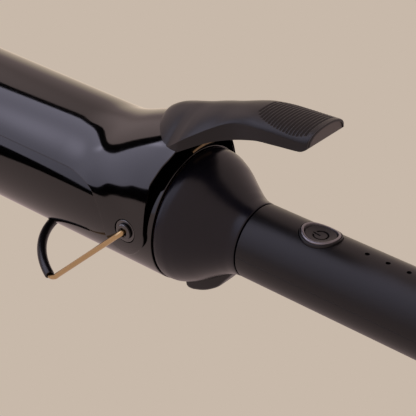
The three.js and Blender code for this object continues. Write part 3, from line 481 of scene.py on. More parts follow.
cut(upper, prism("tool", ellipse(BUTTON_X, 7.85, 6.85), 5, 18))
for _x in LED_X:
    cut(upper, prism("tool", ellipse(_x, 0.84, 0.84, 40), 9, 18))


def handle_normals(P):
    n = np.stack([np.full(len(P), -TAPER), P[:, 1], P[:, 2]], 1)
    r = np.hypot(P[:, 1], P[:, 2])
    n[:, 1:] /= np.maximum(r, 1e-6)[:, None]
    on = np.abs(r - handle_r(P[:, 0])) < 0.004
    n[~on] = 0
    return n


finish_mesh(upper, 30, handle_normals)
finish_mesh(lower, 30, handle_normals)
for _x in (124, 142):
    cut(lower, prism("tool", ellipse(_x, 3.0, 3.0, 48), -20, -8))
finish_mesh(lower, 30, handle_normals)
stand_in(upper, "handle_upper")
stand_in(lower, "handle_lower")

_re = float(handle_r(HANDLE_END))
cap = lathe("end_cap_shell", rounded([
    (160, 10.2), (160, _re - 2.3), (168.15, _re - 2.3), (168.3, _re - 0.1), (170.5, _re), (172.4, _re - 0.5), (173.6, _re - 1.6), (174, _re - 3.2), (174, 7.1), (170.5, 7.1), (170.5, 10.2)],
    [0.2, 0.2, 0, 0.15, 3, 2, 1.5, 1.2, 0.4, 0.1, 0.1], 6), PLASTIC, 128)
stand_in(cap, "end_cap")
swivel = lathe("inlet_sleeve", rounded([
    (150, 2.2), (150, 5.2), (164.5, 5.2), (164.5, 9.2), (170.1, 9.2), (170.1, 6.7), (175, 6.7), (180.5, 6.2), (182, 5.2), (182, 3.6), (160, 3.6), (160, 2.2)],
    [0, 0.2, 0, 0.2, 0.2, 0, 6, 1.5, 0.6, 0.6, 0, 0], 5), PLASTIC, 96)
stand_in(swivel, "cord_inlet_swivel")


# heel foot: a smooth solid under the bulb
def foot_piece():
    side = Table([[0.4, -27.6], [0.9, -28.6], [2.2, -29.0], [5.4, -28.2], [8.3, -27.0], [10.8, -25.5], [14.1, -22.9], [16.8, -19.4], [19.4, -15.8], [20.2, -13.9]])
    xs = np.concatenate([[0.4, 0.44, 0.55, 0.75, 1.05, 1.5, 2.0], np.linspace(2.6, 19.6, 46), [19.9, 20.1, 20.2]])
    zb = side(xs)
    zb[:7] = [-27.5, -27.85, -28.25, -28.6, -28.85, -28.98, -29.0]
    ns = 33
    V = []
    for x, z in zip(xs, zb):
        lim = float(max(BULB(max(x, 0.3)), 13.4)) + 0.3 if x < 26 else 13.7
        top = -(lim - 2.0) if x > 1.0 else -(lim - 1.5)
        top = min(top, z + 6.0) if z + 6.0 > -(lim - 2.0) else top
        top = -(lim - 1.2)
        t = np.linspace(-1, 1, ns)
        for s in t:
            # flat-bottomed section with rounded lower edges
            y = 5.0 * np.sign(s) * (1 - (1 - abs(s)) ** 2.2) if abs(s) < 1 else 5.0 * s
            e = abs(s)
            drop = 1.7 * max(0.0, (e - 0.18) / 0.82) ** 3.2
            V.append((x, y * (1 + 0.04 * e), z + drop * 1.0))
        # walls up to the housing
        for s in (1, -1):
            V.append((x, s * 5.35, max(z + 3.0, -26.2) if z + 3.0 < top else top))
            V.append((x, s * 5.45, max(top, z + 3.2)))
    m = ns + 4
    # order each ring: bottom left..right, right low, right high, left high, left low
    W = []
    for i in range(len(xs)):
        r = V[i * m:(i + 1) * m]
        ring = r[:ns] + [r[ns], r[ns + 1], r[ns + 3], r[ns + 2]]
        W.extend(ring)
    F = grid_faces(len(xs), m, wrap_v=True)
    F.append(tuple(range(m)))
    F.append(tuple(range((len(xs) - 1) * m, len(xs) * m))[::-1])
    return make("heel_foot_pad", W, outward(W, F), SOFT, 40)


foot = foot_piece()
_prof = [(-3, 0), (-3, 25.25), (0.25, 25.0)] + [(float(a), float(b) + 0.12) for a, b in zip(_bx[5::3], BULB(_bx[5::3]))] + [(30, 13.6), (30, 0)]
cut(foot, lathe("tool", _prof, None, 128))
finish_mesh(foot, 40)
stand_in(foot, "heel_foot")

# ------------------------------------------------------------------ button
def band(name, a, b, ia, ib, top, low, mat, ease=0.25, n=96, crown=0.0):
    """Elliptical ring that follows the handle's curve, with eased edges."""
    t = np.arange(n) / n * 2 * math.pi
    prof = [(0.0, "low"), (0.0, "top-"), (0.3, "top~"), (1.0, "top"), (1.0, "top2")]
    rings = []
    w = [(0.0, low, 0), (0.0, top, -ease), (ease * 0.3, top, -ease * 0.3), (ease, top, 0.0 + crown * 0.5), (0.5, None, crown), (-ease, top, 0.0 + crown * 0.5), (-ease * 0.3, top, -ease * 0.3), (-1e-9, top, -ease), (-1e-9, low, 0)]
    V = []
    for s, r0, dz in w:
        for k in t:
            wid = a - ia
            off = s if s >= 0 else wid + s
            if r0 is None:
                off = wid / 2
                r = top
            else:
                r = r0
            xx = (a - off) * math.cos(k)
            yy = (b - off) * math.sin(k)
            z = math.sqrt(max(r * r - yy * yy, 0)) + dz
            V.append((BUTTON_X + xx, yy, z))
    F = grid_faces(len(w), n, wrap_v=True, wrap_u=True)
    return make(name, V, outward(V, F), mat, 35)


surround = band("button_rim", 7.65, 6.65, 7.2, 6.2, 14.3, 11.6, SOFT, 0.15)
stand_in(surround, "button_surround")
trim = band("button_ring", 7.0, 6.0, 6.05, 5.05, 14.5, 11.8, TRIM, 0.22, crown=0.03)
stand_in(trim, "button_trim_ring")


def key_piece():
    """Dished key with the power mark sunk into it."""
    a, b = 5.72, 4.72
    R = 17.0
    n, m = 120, 60
    V = []
    rr = np.concatenate([np.linspace(0, 0.9, 46), np.linspace(0.915, 0.965, 5), [0.98, 0.99, 0.997, 1.0, 1.0, 1.0]])
    for i, q in enumerate(rr):
        for k in np.arange(n) / n * 2 * math.pi:
            x, y = a * q * math.cos(k), b * q * math.sin(k)
            rad = math.hypot(x, y)
            zd = 12.7 + 17 - math.sqrt(R * R - rad * rad)
            zt = math.sqrt(14.3 ** 2 - y * y)
            z = min(zd, zt, 13.5)
            j = i - (len(rr) - 6)
            if j >= 0:
                z -= [0.03, 0.08, 0.15, 0.3, 0.9, 2.2][j]
            # power mark: a broken ring and a bar
            ang = math.degrees(math.atan2(y, x)) % 360
            ring = smooth((0.33 - abs(rad - 2.52)) / 0.10) if not (157 < ang < 203) else 0.0
            bar = smooth((0.33 - abs(y)) / 0.10) * smooth((3.05 + x) / 0.1) * smooth((-0.15 - x) / 0.1)
            z -= 0.34 * max(float(ring), float(bar))
            V.append((BUTTON_X + x, y, z))
    F = grid_faces(len(rr), n, wrap_v=True)
    F.append(tuple(range((len(rr) - 1) * n, len(rr) * n)))
    # centre ring collapses to one point
    V0 = np.array(V)
    F = [f for f in F]
    cen = V0[:n].mean(0)
    V0 = np.vstack([V0, cen[None]])
    c = len(V0) - 1
    G = []
    for f in F:
        g = []
        for t in f:
            t = c if t < n else t
            if t not in g:
                g.append(t)
        if len(g) > 2:
            G.append(tuple(g))
    keep = sorted({i for f in G for i in f})
    mp = {v: i for i, v in enumerate(keep)}
    V1 = V0[keep]
    G = [tuple(mp[i] for i in f) for f in G]
    o = make("power_key", V1, outward(V1, G), KEY, 40)
    # the floor of the mark is inked
    o.data.materials.append(INK)
    for f in o.data.polygons:
        c = (np.array(f.center) * 1000 - OFF) @ ROT
        x, y = c[0] - BUTTON_X, c[1]
        ang = math.degrees(math.atan2(y, x)) % 360
        if (abs(math.hypot(x, y) - 2.52) < 0.3 and not 157 < ang < 203) or (abs(y) < 0.3 and -3.0 < x < -0.2):
            f.material_index = 1
    return o


key = key_piece()
stand_in(key, "power_button")
for i, x in enumerate(LED_X):
    rt = float(handle_r(x)) - 0.5
    led = lathe(f"lamp_lens_{i + 1}", rounded([(4.1, 0), (4.1, 1.5), (5.6, 1.5), (5.6, 0.76), (rt, 0.76), (rt + 0.06, 0.0)], [0, 0.1, 0, 0, 0.25, 0], 4, closed=False), LENS, 40, origin=(x, 0, 0), axis="z")
    stand_in(led, f"indicator_lamp_{i + 1}")

# ------------------------------------------------------------------ clamp
EAR_R, CLAMP_R, FRONT, REAR = 26.45, 26.25, -149.0, 2.0
# how far the sheet lifts off its round form: control values every 5 mm along x from -51, and every 10 degrees round from the crown
SWELL = np.array([
    [0, 0, 0, 0, 0, 0, 0, 0, 0],
    [0, 0, 0, 0, 0, 0, 0, 0, 0],
    [0.1, 0.1, 0.05, 0.01, 0, 0, 0.02, 0.04, 0],
    [0.85, 0.72, 0.33, 0.07, 0.03, 0.07, 0.15, 0.2, 0],
    [2.05, 1.86, 1.24, 0.74, 0.49, 0.44, 0.5, 0.5, 0],
    [3.84, 3.66, 3.06, 2.34, 1.55, 0.98, 0.6, 0.43, 0],
    [5.95, 5.71, 4.9, 3.83, 2.75, 1.76, 0.8, 0.09, 0],
    [7.85, 7.54, 6.5, 5.16, 3.72, 2.41, 1.14, 0.03, 0],
    [9.48, 9.13, 7.98, 6.34, 4.47, 2.88, 1.54, 0.26, 0],
    [10.92, 10.55, 9.33, 7.34, 5.03, 3.11, 1.76, 0.61, 0],
    [12.09, 11.68, 10.31, 8.09, 5.56, 3.4, 1.93, 0.82, 0],
    [12.92, 12.46, 10.93, 8.62, 6.06, 3.77, 2.05, 0.81, 0],
    [13.43, 12.94, 11.3, 8.94, 6.36, 3.99, 2.12, 0.81, 0]])


def bell(t):
    t = np.abs(t)
    return np.where(t < 1, (4 - 6 * t ** 2 + 3 * t ** 3) / 6, np.where(t < 2, np.clip(2 - t, 0, 2) ** 3 / 6, 0.0))


def clamp_r(x, th):
    x, a = np.broadcast_arrays(np.asarray(x, float), np.abs(th) / D)
    u = bell((x[..., None] + 51 - 5 * np.arange(13)) / 5)
    j = np.arange(9)
    v = bell((a[..., None] - 10 * j) / 10) + (j > 0) * bell((a[..., None] + 10 * j) / 10)
    return CLAMP_R + (EAR_R - CLAMP_R) * smooth((x + 46) / 16) + ((u @ SWELL) * v).sum(-1)


def clamp_t(x):
    return lerp(0.65, 0.8, smooth((x + 46) / 16))


SIDE = [
    (-148.6, 23.4), (-147.2, 20.4), (-144.6, 17.0), (-141.2, 14.4), (-137, 12.95), (-131, 12.4), (-100, 12.4), (-75, 12.4), (-45, 12.4),
    (-38.6, 12.4), (-34.9, 11.9), (-31.7, 11.1), (-29.4, 10.2), (-27.6, 9.1), (-26.2, 7.7), (-24.2, 5.2), (-22.9, 3.0), (-21.5, 0.4), (-20.7, -2.8), (-20.1, -5.6),
    (-18.6, -8.0), (-16.2, -9.7), (-13.2, -10.5), (-10.4, -10.3), (-7.6, -8.6), (-5.4, -6.4), (-3.6, -4.0), (-2.6, -1.6), (-2.5, 0.6), (-3.3, 2.9), (-4.3, 5.2), (-4.6, 7.8),
    (-4.2, 10.4), (-3.6, 13.0), (-3.62, 14.6), (-3.77, 16.3), (-3.74, 18.35), (-3.09, 20.6), (-2.37, 22.5), (-1.67, 24.4), (-0.79, 26.6), (0.44, 28.85), (1.03, 30.0), (1.58, 31.2), (REAR, 33.0)]


def spline(points, n, closed=False):
    """Points evenly spaced along a centripetal Catmull-Rom curve."""
    P = np.array(points, float)
    A = np.vstack([2 * P[0] - P[1], P, 2 * P[-1] - P[-2]])
    out = []
    for i in range(1, len(A) - 2):
        p0, p1, p2, p3 = A[i - 1], A[i], A[i + 1], A[i + 2]
        t0 = 0.0
        t1 = t0 + np.linalg.norm(p1 - p0) ** 0.5
        t2 = t1 + np.linalg.norm(p2 - p1) ** 0.5
        t3 = t2 + np.linalg.norm(p3 - p2) ** 0.5
        for t in np.linspace(t1, t2, 12, endpoint=False):
            a1 = (t1 - t) / (t1 - t0) * p0 + (t - t0) / (t1 - t0) * p1
            a2 = (t2 - t) / (t2 - t1) * p1 + (t - t1) / (t2 - t1) * p2
            a3 = (t3 - t) / (t3 - t2) * p2 + (t - t2) / (t3 - t2) * p3
            b1 = (t2 - t) / (t2 - t0) * a1 + (t - t0) / (t2 - t0) * a2
            b2 = (t3 - t) / (t3 - t1) * a2 + (t - t1) / (t3 - t1) * a3
            out.append((t2 - t) / (t2 - t1) * b1 + (t - t1) / (t2 - t1) * b2)
    out.append(P[-1])
    out = np.array(out)
    s = np.concatenate([[0], np.cumsum(np.linalg.norm(np.diff(out, axis=0), axis=1))])
    q = np.linspace(0, s[-1], n)
    return np.stack([np.interp(q, s, out[:, k]) for k in range(out.shape[1])], 1)


def clamp_surface(x, th, inset=0.0):
    r = clamp_r(x, th) - inset
    return np.stack([x, -r * np.sin(th), r * np.cos(th)], -1)


def clamp_normal(x, th):
    e = 1e-3
    px = clamp_surface(x + e, th) - clamp_surface(x - e, th)
    pt = clamp_surface(x, th + e) - clamp_surface(x, th - e)
    n = np.cross(px, pt)
    n /= np.linalg.norm(n, axis=-1)[..., None]
    rad = np.stack([0 * x, -np.sin(th), np.cos(th)], -1)
    return n * np.sign((n * rad).sum(-1))[..., None]


def clamp_piece():
    # edge of one side in the unrolled sheet (x, s = radius * angle), from the front middle to the rear middle
    edge = []
    for x, z in SIDE:
        th = math.acos(max(-1, min(1, z / 26.0)))
        for _ in range(40):
            th = math.acos(max(-1, min(1, z / float(clamp_r(x, th)))))
        edge.append((x, th * 26.0))
    front = [(-149.0, 0.0), (-148.98, 4.0), (-148.9, 8.0)]
    rear = [(REAR, edge[-1][1] * 0.66), (REAR, edge[-1][1] * 0.33), (REAR, 0.0)]
    E = spline(front + edge + rear, 420)
    # edge tangents and outward direction in the sheet
    T = np.gradient(E, axis=0)
    T /= np.linalg.norm(T, axis=1)[:, None]
    Mo = np.stack([-T[:, 1], T[:, 0]], 1)
    if (Mo[200] @ np.array([0.0, 1.0])) < 0:
        Mo = -Mo
    Mo[0], Mo[-1] = (-1, 0), (1, 0)
    # middle line points that pair with the edge points
    s = np.linspace(0, 1, len(E))
    cx = np.interp(E[:, 0], [-149, -141, -30, -8, REAR], [-149, -141, -30, -9, REAR])
    cx = np.maximum.accumulate(np.interp(s, s, cx))
    d = np.linalg.norm(np.diff(E, axis=0), axis=1)
    cum = np.concatenate([[0], np.cumsum(d)])
    # rear edge rows run to the middle line's end
    cx = np.minimum(cx, REAR)
    strict = cx + np.linspace(-1e-3, 0, len(cx))
    # blend so that no two rows share a middle point
    even = np.interp(cum, [0, cum[-1]], [-149, REAR])
    cxm = np.maximum.accumulate(0.93 * strict + 0.07 * even)
    cxm[0], cxm[-1] = -149.0, REAR
    rho = 0.22
    na = 34
    rows = []
    q = np.linspace(0, 1, na)
    q = q ** 0.9
    V, idx = [], []
    n = len(E)
    E_in = E - Mo * rho
    for sgn in (1, -1):
        for layer in (0, 1):
            for i in range(n):
                for k in range(na):
                    x = lerp(cxm[i], E_in[i, 0], q[k])
                    w = lerp(0.0, E_in[i, 1], q[k])
                    V.append((x, w, sgn, layer))
    A = np.array(V, float)
    x, th, sgn, layer = A[:, 0], A[:, 1] / 26.0, A[:, 2], A[:, 3]
    t = clamp_t(x)
    r = clamp_r(x, th) - layer * t
    pts = np.stack([x, -sgn * r * np.sin(th), r * np.cos(th)], 1)
    size = n * na
    F = []
    for blk in range(4):
        F += grid_faces(n, na, base=blk * size)
    # rim: a rounded edge joining outer and inner skins
    rim = []
    nr = 5
    prof = []
    for k in range(nr + 1):
        a = k / nr * math.pi / 2
        prof.append((rho * math.sin(a), -rho * (1 - math.cos(a)), 0))
    for k in range(nr + 1):
        a = k / nr * math.pi / 2
        prof.append((rho * math.cos(a), rho * (1 - math.sin(a)) - 0.0, 1))
    for sgn_ in (1, -1):
        blk = []
        for i in range(n):
            for (m, dr, lay) in prof:
                ex = E_in[i] + Mo[i] * m
                xx, tt = ex[0], ex[1] / 26.0
                base = clamp_r(xx, tt) + (dr if lay == 0 else -clamp_t(xx) + dr)
                blk.append((xx, -sgn_ * base * math.sin(tt), base * math.cos(tt)))
        off = len(pts)
        pts = np.vstack([pts, np.array(blk)])
        F += grid_faces(n, len(prof), base=off)
    # weld
    o = make("clamp_sheet", pts, F, GLOSS, 40)
    bm = bmesh.new()
    bm.from_mesh(o.data)
    bmesh.ops.remove_doubles(bm, verts=bm.verts, dist=2e-6)
    bmesh.ops.dissolve_degenerate(bm, edges=bm.edges, dist=1e-7)
    bmesh.ops.recalc_face_normals(bm, faces=bm.faces)
    holes = [e for e in bm.edges if e.is_boundary]
    print("clamp boundary edges", len(holes), "volume", bm.calc_volume() * 1e9)
    if bm.calc_volume() < 0:
        bmesh.ops.reverse_faces(bm, faces=bm.faces)
    bm.to_mesh(o.data)
    bm.free()
    return o


def clamp_normals(P):
    th = np.arctan2(-P[:, 1], P[:, 2])
    r = np.hypot(P[:, 1], P[:, 2])
    n = clamp_normal(P[:, 0], th)
    out = np.abs(r - clamp_r(P[:, 0], th)) < 0.01
    inn = np.abs(r - clamp_r(P[:, 0], th) + clamp_t(P[:, 0])) < 0.01
    n = np.where(inn[:, None], -n, n)
    n[~(out | inn)] = 0
    return n


clamp = clamp_piece()
for _s in (1, -1):
    cut(clamp, lathe("tool", [(22, 0), (22, 4.5), (32, 4.5), (32, 0)], None, 96, origin=(PIVOT_X, 0, 0), axis="y" if _s > 0 else "-y"))
finish_mesh(clamp, 40, clamp_normals)
stand_in(clamp, "clamp_plate")

# ------------------------------------------------------------------ thumb lever
LV = {
    "top": Table([[-15.4, 34.6], [-15.1, 35.2], [-14.7, 35.9], [-14, 36.9], [-13, 37.9], [-11.2, 39.2], [-9, 40.4], [-6, 41.5], [-2, 42.9], [2, 44.2], [8, 46.45], [14, 48.55], [20.5, 50.8], [26, 51.9], [33, 52.5], [41, 53.1], [46, 53.5], [49, 53.9], [50, 54.0]]),
    "yf": Table([[-15.4, 0.4], [-15.2, 1.3], [-14.8, 2.7], [-14, 4.75], [-12.5, 7.2], [-10.4, 10.0], [-9.4, 11.1], [-7.5, 12.9], [-5.2, 14.5], [-3, 15.3], [0, 15.85], [2, 15.9], [4, 15.2], [6, 14.2], [8, 13.0], [10, 11.8], [12, 10.75], [14.5, 9.75], [17, 9.1], [20, 8.85], [26, 9.5], [32, 10.15], [46, 10.3], [49, 10.1], [50, 9.8]]),
    "zf": Table([[-15.4, 34.1], [-12, 34.0], [-9.4, 33.3], [-5.2, 32.1], [-3, 31.9], [-1.5, 32.5], [0.47, 34.0], [1.93, 35.29], [3.16, 36.29], [4.44, 37.28], [5.6, 38.14], [6.73, 38.95], [7.79, 39.67], [8.81, 40.36], [10.28, 41.36], [11.68, 42.28], [13.58, 43.51], [15.39, 44.49], [17.2, 45.28], [19.09, 45.97], [21, 46.5], [26, 47.6], [33, 48.7], [41, 49.2], [47, 49.4], [50, 49.6]]),
    "yb": Table([[-15.4, 0.5], [-15.2, 1.5], [-14.8, 2.9], [-14, 4.95], [-12.5, 7.4], [-10.4, 10.2], [-9.4, 11.3], [-7.5, 13.1], [-5.2, 14.7], [-3, 15.5], [0, 16.05], [2, 16.1], [4, 15.5], [6, 14.55], [8, 13.4], [10, 12.2], [12, 11.15], [14.5, 10.15], [17, 9.5], [20, 9.2], [27, 9.8], [32, 10.35], [46, 10.5], [49, 10.3], [50, 10.0]]),
    "zb": Table([[-15.4, 24], [-5, 26], [0, 29.5], [1.93, 31.53], [3.17, 32.38], [4.46, 33.18], [5.61, 33.84], [6.73, 34.49], [7.79, 35.12], [8.8, 35.71], [10.28, 36.56], [11.68, 37.16], [13.58, 37.96], [15.39, 38.7], [17.2, 39.4], [19.09, 40.17], [21.7, 41.2], [24.4, 42.3], [27.4, 43.4], [30.3, 44.5], [35.7, 45.3], [39.5, 45.9], [43.4, 46.4], [46.9, 46.9], [49.2, 48.3], [50, 49.2]]),
    "p": Table([[-15.4, 1.9], [-7, 1.88], [-2, 1.76], [2, 1.66], [6, 1.76], [11, 1.9], [13, 1.9], [50, 2.3]]),
}
GROOVES, LEVER_X0 = 17, -15.4


def lever_value(key, x):
    """A section measure along the lever, eased over about two millimetres so that its surface flows."""
    x = np.asarray(x, float)
    sig = (0.4 + 1.5 * smooth((x - 3) / 8)) * smooth((x + 15.0) / 7) * smooth((49.3 - x) / 6)
    out = 0.0
    for q, w in zip((-2.857, -1.3556, 0.0, 1.3556, 2.857), (0.01126, 0.22207, 0.53334, 0.22207, 0.01126)):
        out = out + w * LV[key](x + sig * q)
    return out


def lever_rows(x, s, inset, drop=6.0):
    yf, zf, zt = lever_value("yf", x) - inset, lever_value("zf", x) - inset * 0.3, lever_value("top", x) - inset
    yb, p = lever_value("yb", x) - inset, LV["p"](x)
    zb = lever_value("zb", x) - (drop if inset > 0 else 0)
    m = np.where(s < 0.5, -1.0, 1.0)
    t = np.abs(s - 0.5) * 2
    q = np.sin(np.minimum(t / 0.8, 1) * math.pi / 2)
    k = np.clip((t - 0.8) / 0.2, 0, 1)
    w = smooth((x - 12) / 14)
    arch = lerp(1 - np.abs(q) ** p, (1 - np.abs(q) ** 2.3) ** (1 / 2.3), w)
    y1, z1 = m * yf * q, zf + (zt - zf) * arch
    y2, z2 = m * (yf + (yb - yf) * smooth(k) * 0.5 + (yb - yf) * k * 0.5), zf + (zb - zf) * k
    return np.where(t <= 0.8, y1, y2), np.where(t <= 0.8, z1, z2)


def groove_depth(x, y):
    """Seventeen soft waves across the crown of the thumb pad; each ends on a curve, at the same distance from the
    middle on both sides.
    """
    c = 26.6 + 1.3 * np.clip(np.round((x - 26.6) / 1.3), 0, GROOVES - 1)
    i = (c - 26.6) / 1.3
    half = GROOVE_END(i)
    w = smooth((half - np.abs(y)) / 0.7 + 0.5)
    wave = 0.5 + 0.5 * np.cos(np.clip((x - c) / 1.3, -0.5, 0.5) * 2 * math.pi)
    return 0.36 * w * wave ** 1.4


GROOVE_END = Table([[0, 4.6], [1, 6.0], [2, 6.9], [4, 7.9], [6, 8.6], [9, 9.2], [12, 9.5], [14, 9.3], [16, 8.4]])


def lever_piece():
    xs = np.concatenate([LEVER_X0 + 39.9 * np.linspace(0, 1, 160) ** 1.25, np.linspace(24.6, 49.4, 260), [49.55, 49.66, 49.76, 49.84, 49.91, 49.96, 49.99, 50.0]])
    ss = np.concatenate([np.linspace(0, 0.1, 16, endpoint=False), np.linspace(0.1, 0.9, 180), np.linspace(0.9, 1.0, 17)[1:]])
    X, S = np.meshgrid(xs, ss, indexing="ij")
    Y, Z = lever_rows(X, S, 0.0)
    mid = (Z[:, :1] + Z.max(1, keepdims=True)) / 2
    # ease the rear rim
    e = np.clip((X - 49.6) / 0.4, 0, 1)
    k = 1 - np.sqrt(np.clip(1 - e * e, 0, 1))
    R = np.hypot(Y, Z - mid)
    f = np.clip(1 - 0.3 * k / np.maximum(R, 1e-6), 0, 1)
    Y, Z = Y * f, mid + (Z - mid) * f
    gd = groove_depth(X, Y)
    # the waves are pressed in along the crown's own normal
    dY = np.gradient(Y, axis=1)
    dZ = np.gradient(Z, axis=1)
    ln = np.maximum(np.hypot(dY, dZ), 1e-9)
    top = ((S > 0.1) & (S < 0.9)).astype(float) * gd
    Y, Z = Y + dZ / ln * top, Z - dY / ln * top
    P = np.stack([X, Y, Z], -1)
    nu, nv = X.shape
    V = P.reshape(-1, 3)
    F = grid_faces(nu, nv)
    # floor between the bottom edges
    for i in range(nu - 1):
        a, b = i * nv, i * nv + nv - 1
        c, d = (i + 1) * nv, (i + 1) * nv + nv - 1
        F.append((a, c, d, b))
    F.append(tuple(range(nv - 1, -1, -1)))
    F.append(tuple(range((nu - 1) * nv, nu * nv)))
    return make("lever_shell", V, F, SOFT, 40)


def lever_hollow(x0, x1, inset, drop=6.0):
    xs = np.linspace(x0, x1, max(3, int((x1 - x0) / 0.8)))
    ss = np.linspace(0, 1, 64)
    X, S = np.meshgrid(xs, ss, indexing="ij")
    Y, Z = lever_rows(X, S, inset, drop)
    nu, nv = X.shape
    V = np.stack([X, Y, Z], -1).reshape(-1, 3)
    F = grid_faces(nu, nv)
    for i in range(nu - 1):
        F.append((i * nv, (i + 1) * nv, (i + 1) * nv + nv - 1, i * nv + nv - 1))
    F.append(tuple(range(nv - 1, -1, -1)))
    F.append(tuple(range((nu - 1) * nv, nu * nv)))
    return make("tool", V, F)


RECESS_X = 49.65


def lever_recess():
    """The shallow sink in the end face: the end's own outline, drawn in by the rim."""
    xs = np.linspace(RECESS_X, 50.6, 4)
    ss = np.linspace(0, 1, 96)
    Y, Z = lever_rows(np.full(96, 50.0), ss, 0.0)
    lo, hi, w = Z.min(), Z.max(), np.abs(Y).max()
    Y, Z = Y * (w - 0.5) / w, lerp(lo - 1.0, hi - 0.6, (Z - lo) / (hi - lo))
    V = np.stack([np.repeat(xs, 96), np.tile(Y, 4), np.tile(Z, 4)], 1)
    F = grid_faces(4, 96, wrap_v=True)
    F.append(tuple(range(96)))
    F.append(tuple(range(3 * 96, 4 * 96))[::-1])
    return make("tool", V, outward(V, F))


def under_lever():
    """The space that the clamp takes, grown by the fit."""
    xs = np.linspace(-30, REAR + 0.2, 100)
    th = np.linspace(-70, 70, 141) * D
    X, T = np.meshgrid(xs, th, indexing="ij")
    r = clamp_r(X, T) + 0.3
    outer = np.stack([X, -r * np.sin(T), r * np.cos(T)], -1)
    inner = np.stack([X, -5 * np.sin(T), 5 * np.cos(T)], -1)
    nu, nv = X.shape
    ring = np.concatenate([outer, inner[:, ::-1]], 1)
    m = 2 * nv
    V = ring.reshape(-1, 3)
    F = grid_faces(nu, m, wrap_v=True)
    F.append(tuple(range(m)))
    F.append(tuple(range((nu - 1) * m, nu * m))[::-1])
    return make("tool", V, outward(V, F))


lever = lever_piece()
cut(lever, under_lever())
cut(lever, lever_hollow(1.0, 48.0, 1.9))
cut(lever, lever_recess())
finish_mesh(lever, 34)
# the end wall inside the rim takes a lighter brown: a painted reflection of the backdrop
lever.data.materials.append(END_WALL_PAINTED_REFLECTION)
for _p in lever.data.polygons:
    _c = (np.array(_p.center) * 1000 - OFF) @ ROT
    if abs(_c[0] - RECESS_X) < 0.05:
        _p.material_index = 1
stand_in(lever, "thumb_lever")

# ------------------------------------------------------------------ stand
def sweep(name, points, radius, mat, ring=24, n=240, caps=True):
    P = spline(points, n)
    T = np.gradient(P, axis=0)
    T /= np.linalg.norm(T, axis=1)[:, None]
    up = np.array([1.0, 0.0, 0.0])
    N = up - T[0] * (up @ T[0])
    N /= np.linalg.norm(N)
    frames = [N]
    for i in range(1, len(P)):
        v = frames[-1] - T[i] * (frames[-1] @ T[i])
        frames.append(v / np.linalg.norm(v))
    V = []
    a = np.arange(ring) / ring * 2 * math.pi
    rad = np.full(len(P), float(radius))
    for i in range(len(P)):
        B = np.cross(T[i], frames[i])
        for k in a:
            V.append(P[i] + rad[i] * (math.cos(k) * frames[i] + math.sin(k) * B))
    F = grid_faces(len(P), ring, wrap_v=True)
    # domed ends
    for end, sg in ((0, -1), (len(P) - 1, 1)):
        last = [end * ring + j for j in range(ring)]
        B = np.cross(T[end], frames[end])
        for lift, sc in ((0.10, 0.96), (0.2, 0.82), (0.27, 0.55)):
            new = []
            for k in a:
                V.append(P[end] + sg * T[end] * lift * radius + radius * sc * (math.cos(k) * frames[end] + math.sin(k) * B))
                new.append(len(V) - 1)
            for j in range(ring):
                F.append((last[j], last[(j + 1) % ring], new[(j + 1) % ring], new[j]))
            last = new
        F.append(tuple(last))
    o = make(name, V, F, mat, 40)
    bm = bmesh.new()
    bm.from_mesh(o.data)
    bmesh.ops.recalc_face_normals(bm, faces=bm.faces)
    bm.to_mesh(o.data)
    bm.free()
    return finish_mesh(o, 40)


STAND_Y, LEG_Y, CX, CZ, SAG, LIFT = 28.0, 28.9, -43.7, -33.9, 21.4, 18.5
BAR_RAD = (STAND_Y ** 2 + SAG ** 2) / (2 * SAG)
BAR_ANG = math.asin(STAND_Y / BAR_RAD)


def bar_point(t):
    a = t * BAR_ANG
    u = BAR_RAD * math.cos(a) - (BAR_RAD - SAG)
    return [CX - u * math.cos(LIFT * D), BAR_RAD * math.sin(a), CZ + u * math.sin(LIFT * D)]


_ld = np.array([CX - PIVOT_X, LEG_Y - STAND_Y, CZ])
_len = float(np.linalg.norm(_ld))
_ld = _ld / _len
_leg = [[PIVOT_X, -25.4, 0], [PIVOT_X, -26.6, 0], [PIVOT_X, -27.7, 0], [PIVOT_X + _ld[0] * 0.35, -28.55, _ld[2] * 0.35], [PIVOT_X + _ld[0] * 1.3, -LEG_Y + 0.03, _ld[2] * 1.3]]
for _k in (4, 12, 24, 36, 43, _len - 2.2):
    _leg.append([PIVOT_X + _ld[0] * _k, -LEG_Y + _ld[1] * _k, _ld[2] * _k])
_bar = [bar_point(t) for t in np.linspace(-0.965, 0.965, 25)]
_far = [[x, -y, z] for x, y, z in reversed(_leg)]
wire = sweep("wire_stand", _leg + _bar + _far, 1.0, GOLD, 24, 520)
stand_in(wire, "stand_wire")


def sleeve_piece():
    P = spline([bar_point(t) for t in np.linspace(-0.95, 0.95, 25)], 160)
    T = np.gradient(P, axis=0)
    T /= np.linalg.norm(T, axis=1)[:, None]
    up = np.array([0.0, 0.0, 1.0])
    ring = 32
    a = np.arange(ring) / ring * 2 * math.pi
    V = []
    prof = []
    for i in range(len(P)):
        N = up - T[i] * (up @ T[i])
        N /= np.linalg.norm(N)
        B = np.cross(T[i], N)
        prof.append((P[i], N, B))
    rows = []
    ends = [(0, 1.3, 0.0), (0, 1.55, -0.0), (0, 1.72, 0.08), (0, 1.8, 0.22)]
    seq = [(0, 1.3), (0, 1.6)] + [(0, 1.74)] + [(i, 1.8) for i in range(1, len(P) - 1)] + [(len(P) - 1, 1.74), (len(P) - 1, 1.6), (len(P) - 1, 1.3)]
    inner = [(i, 1.3) for i in range(len(P) - 2, 0, -1)]
    for i, r in seq + inner:
        p, N, B = prof[i]
        for k in a:
            V.append(p + r * (math.cos(k) * N + math.sin(k) * B))
    F = grid_faces(len(seq) + len(inner), ring, wrap_v=True, wrap_u=True)
    return make("stand_sleeve_tube", V, outward(V, F), SLEEVE, 45)


sleeve = sleeve_piece()
stand_in(sleeve, "stand_sleeve")

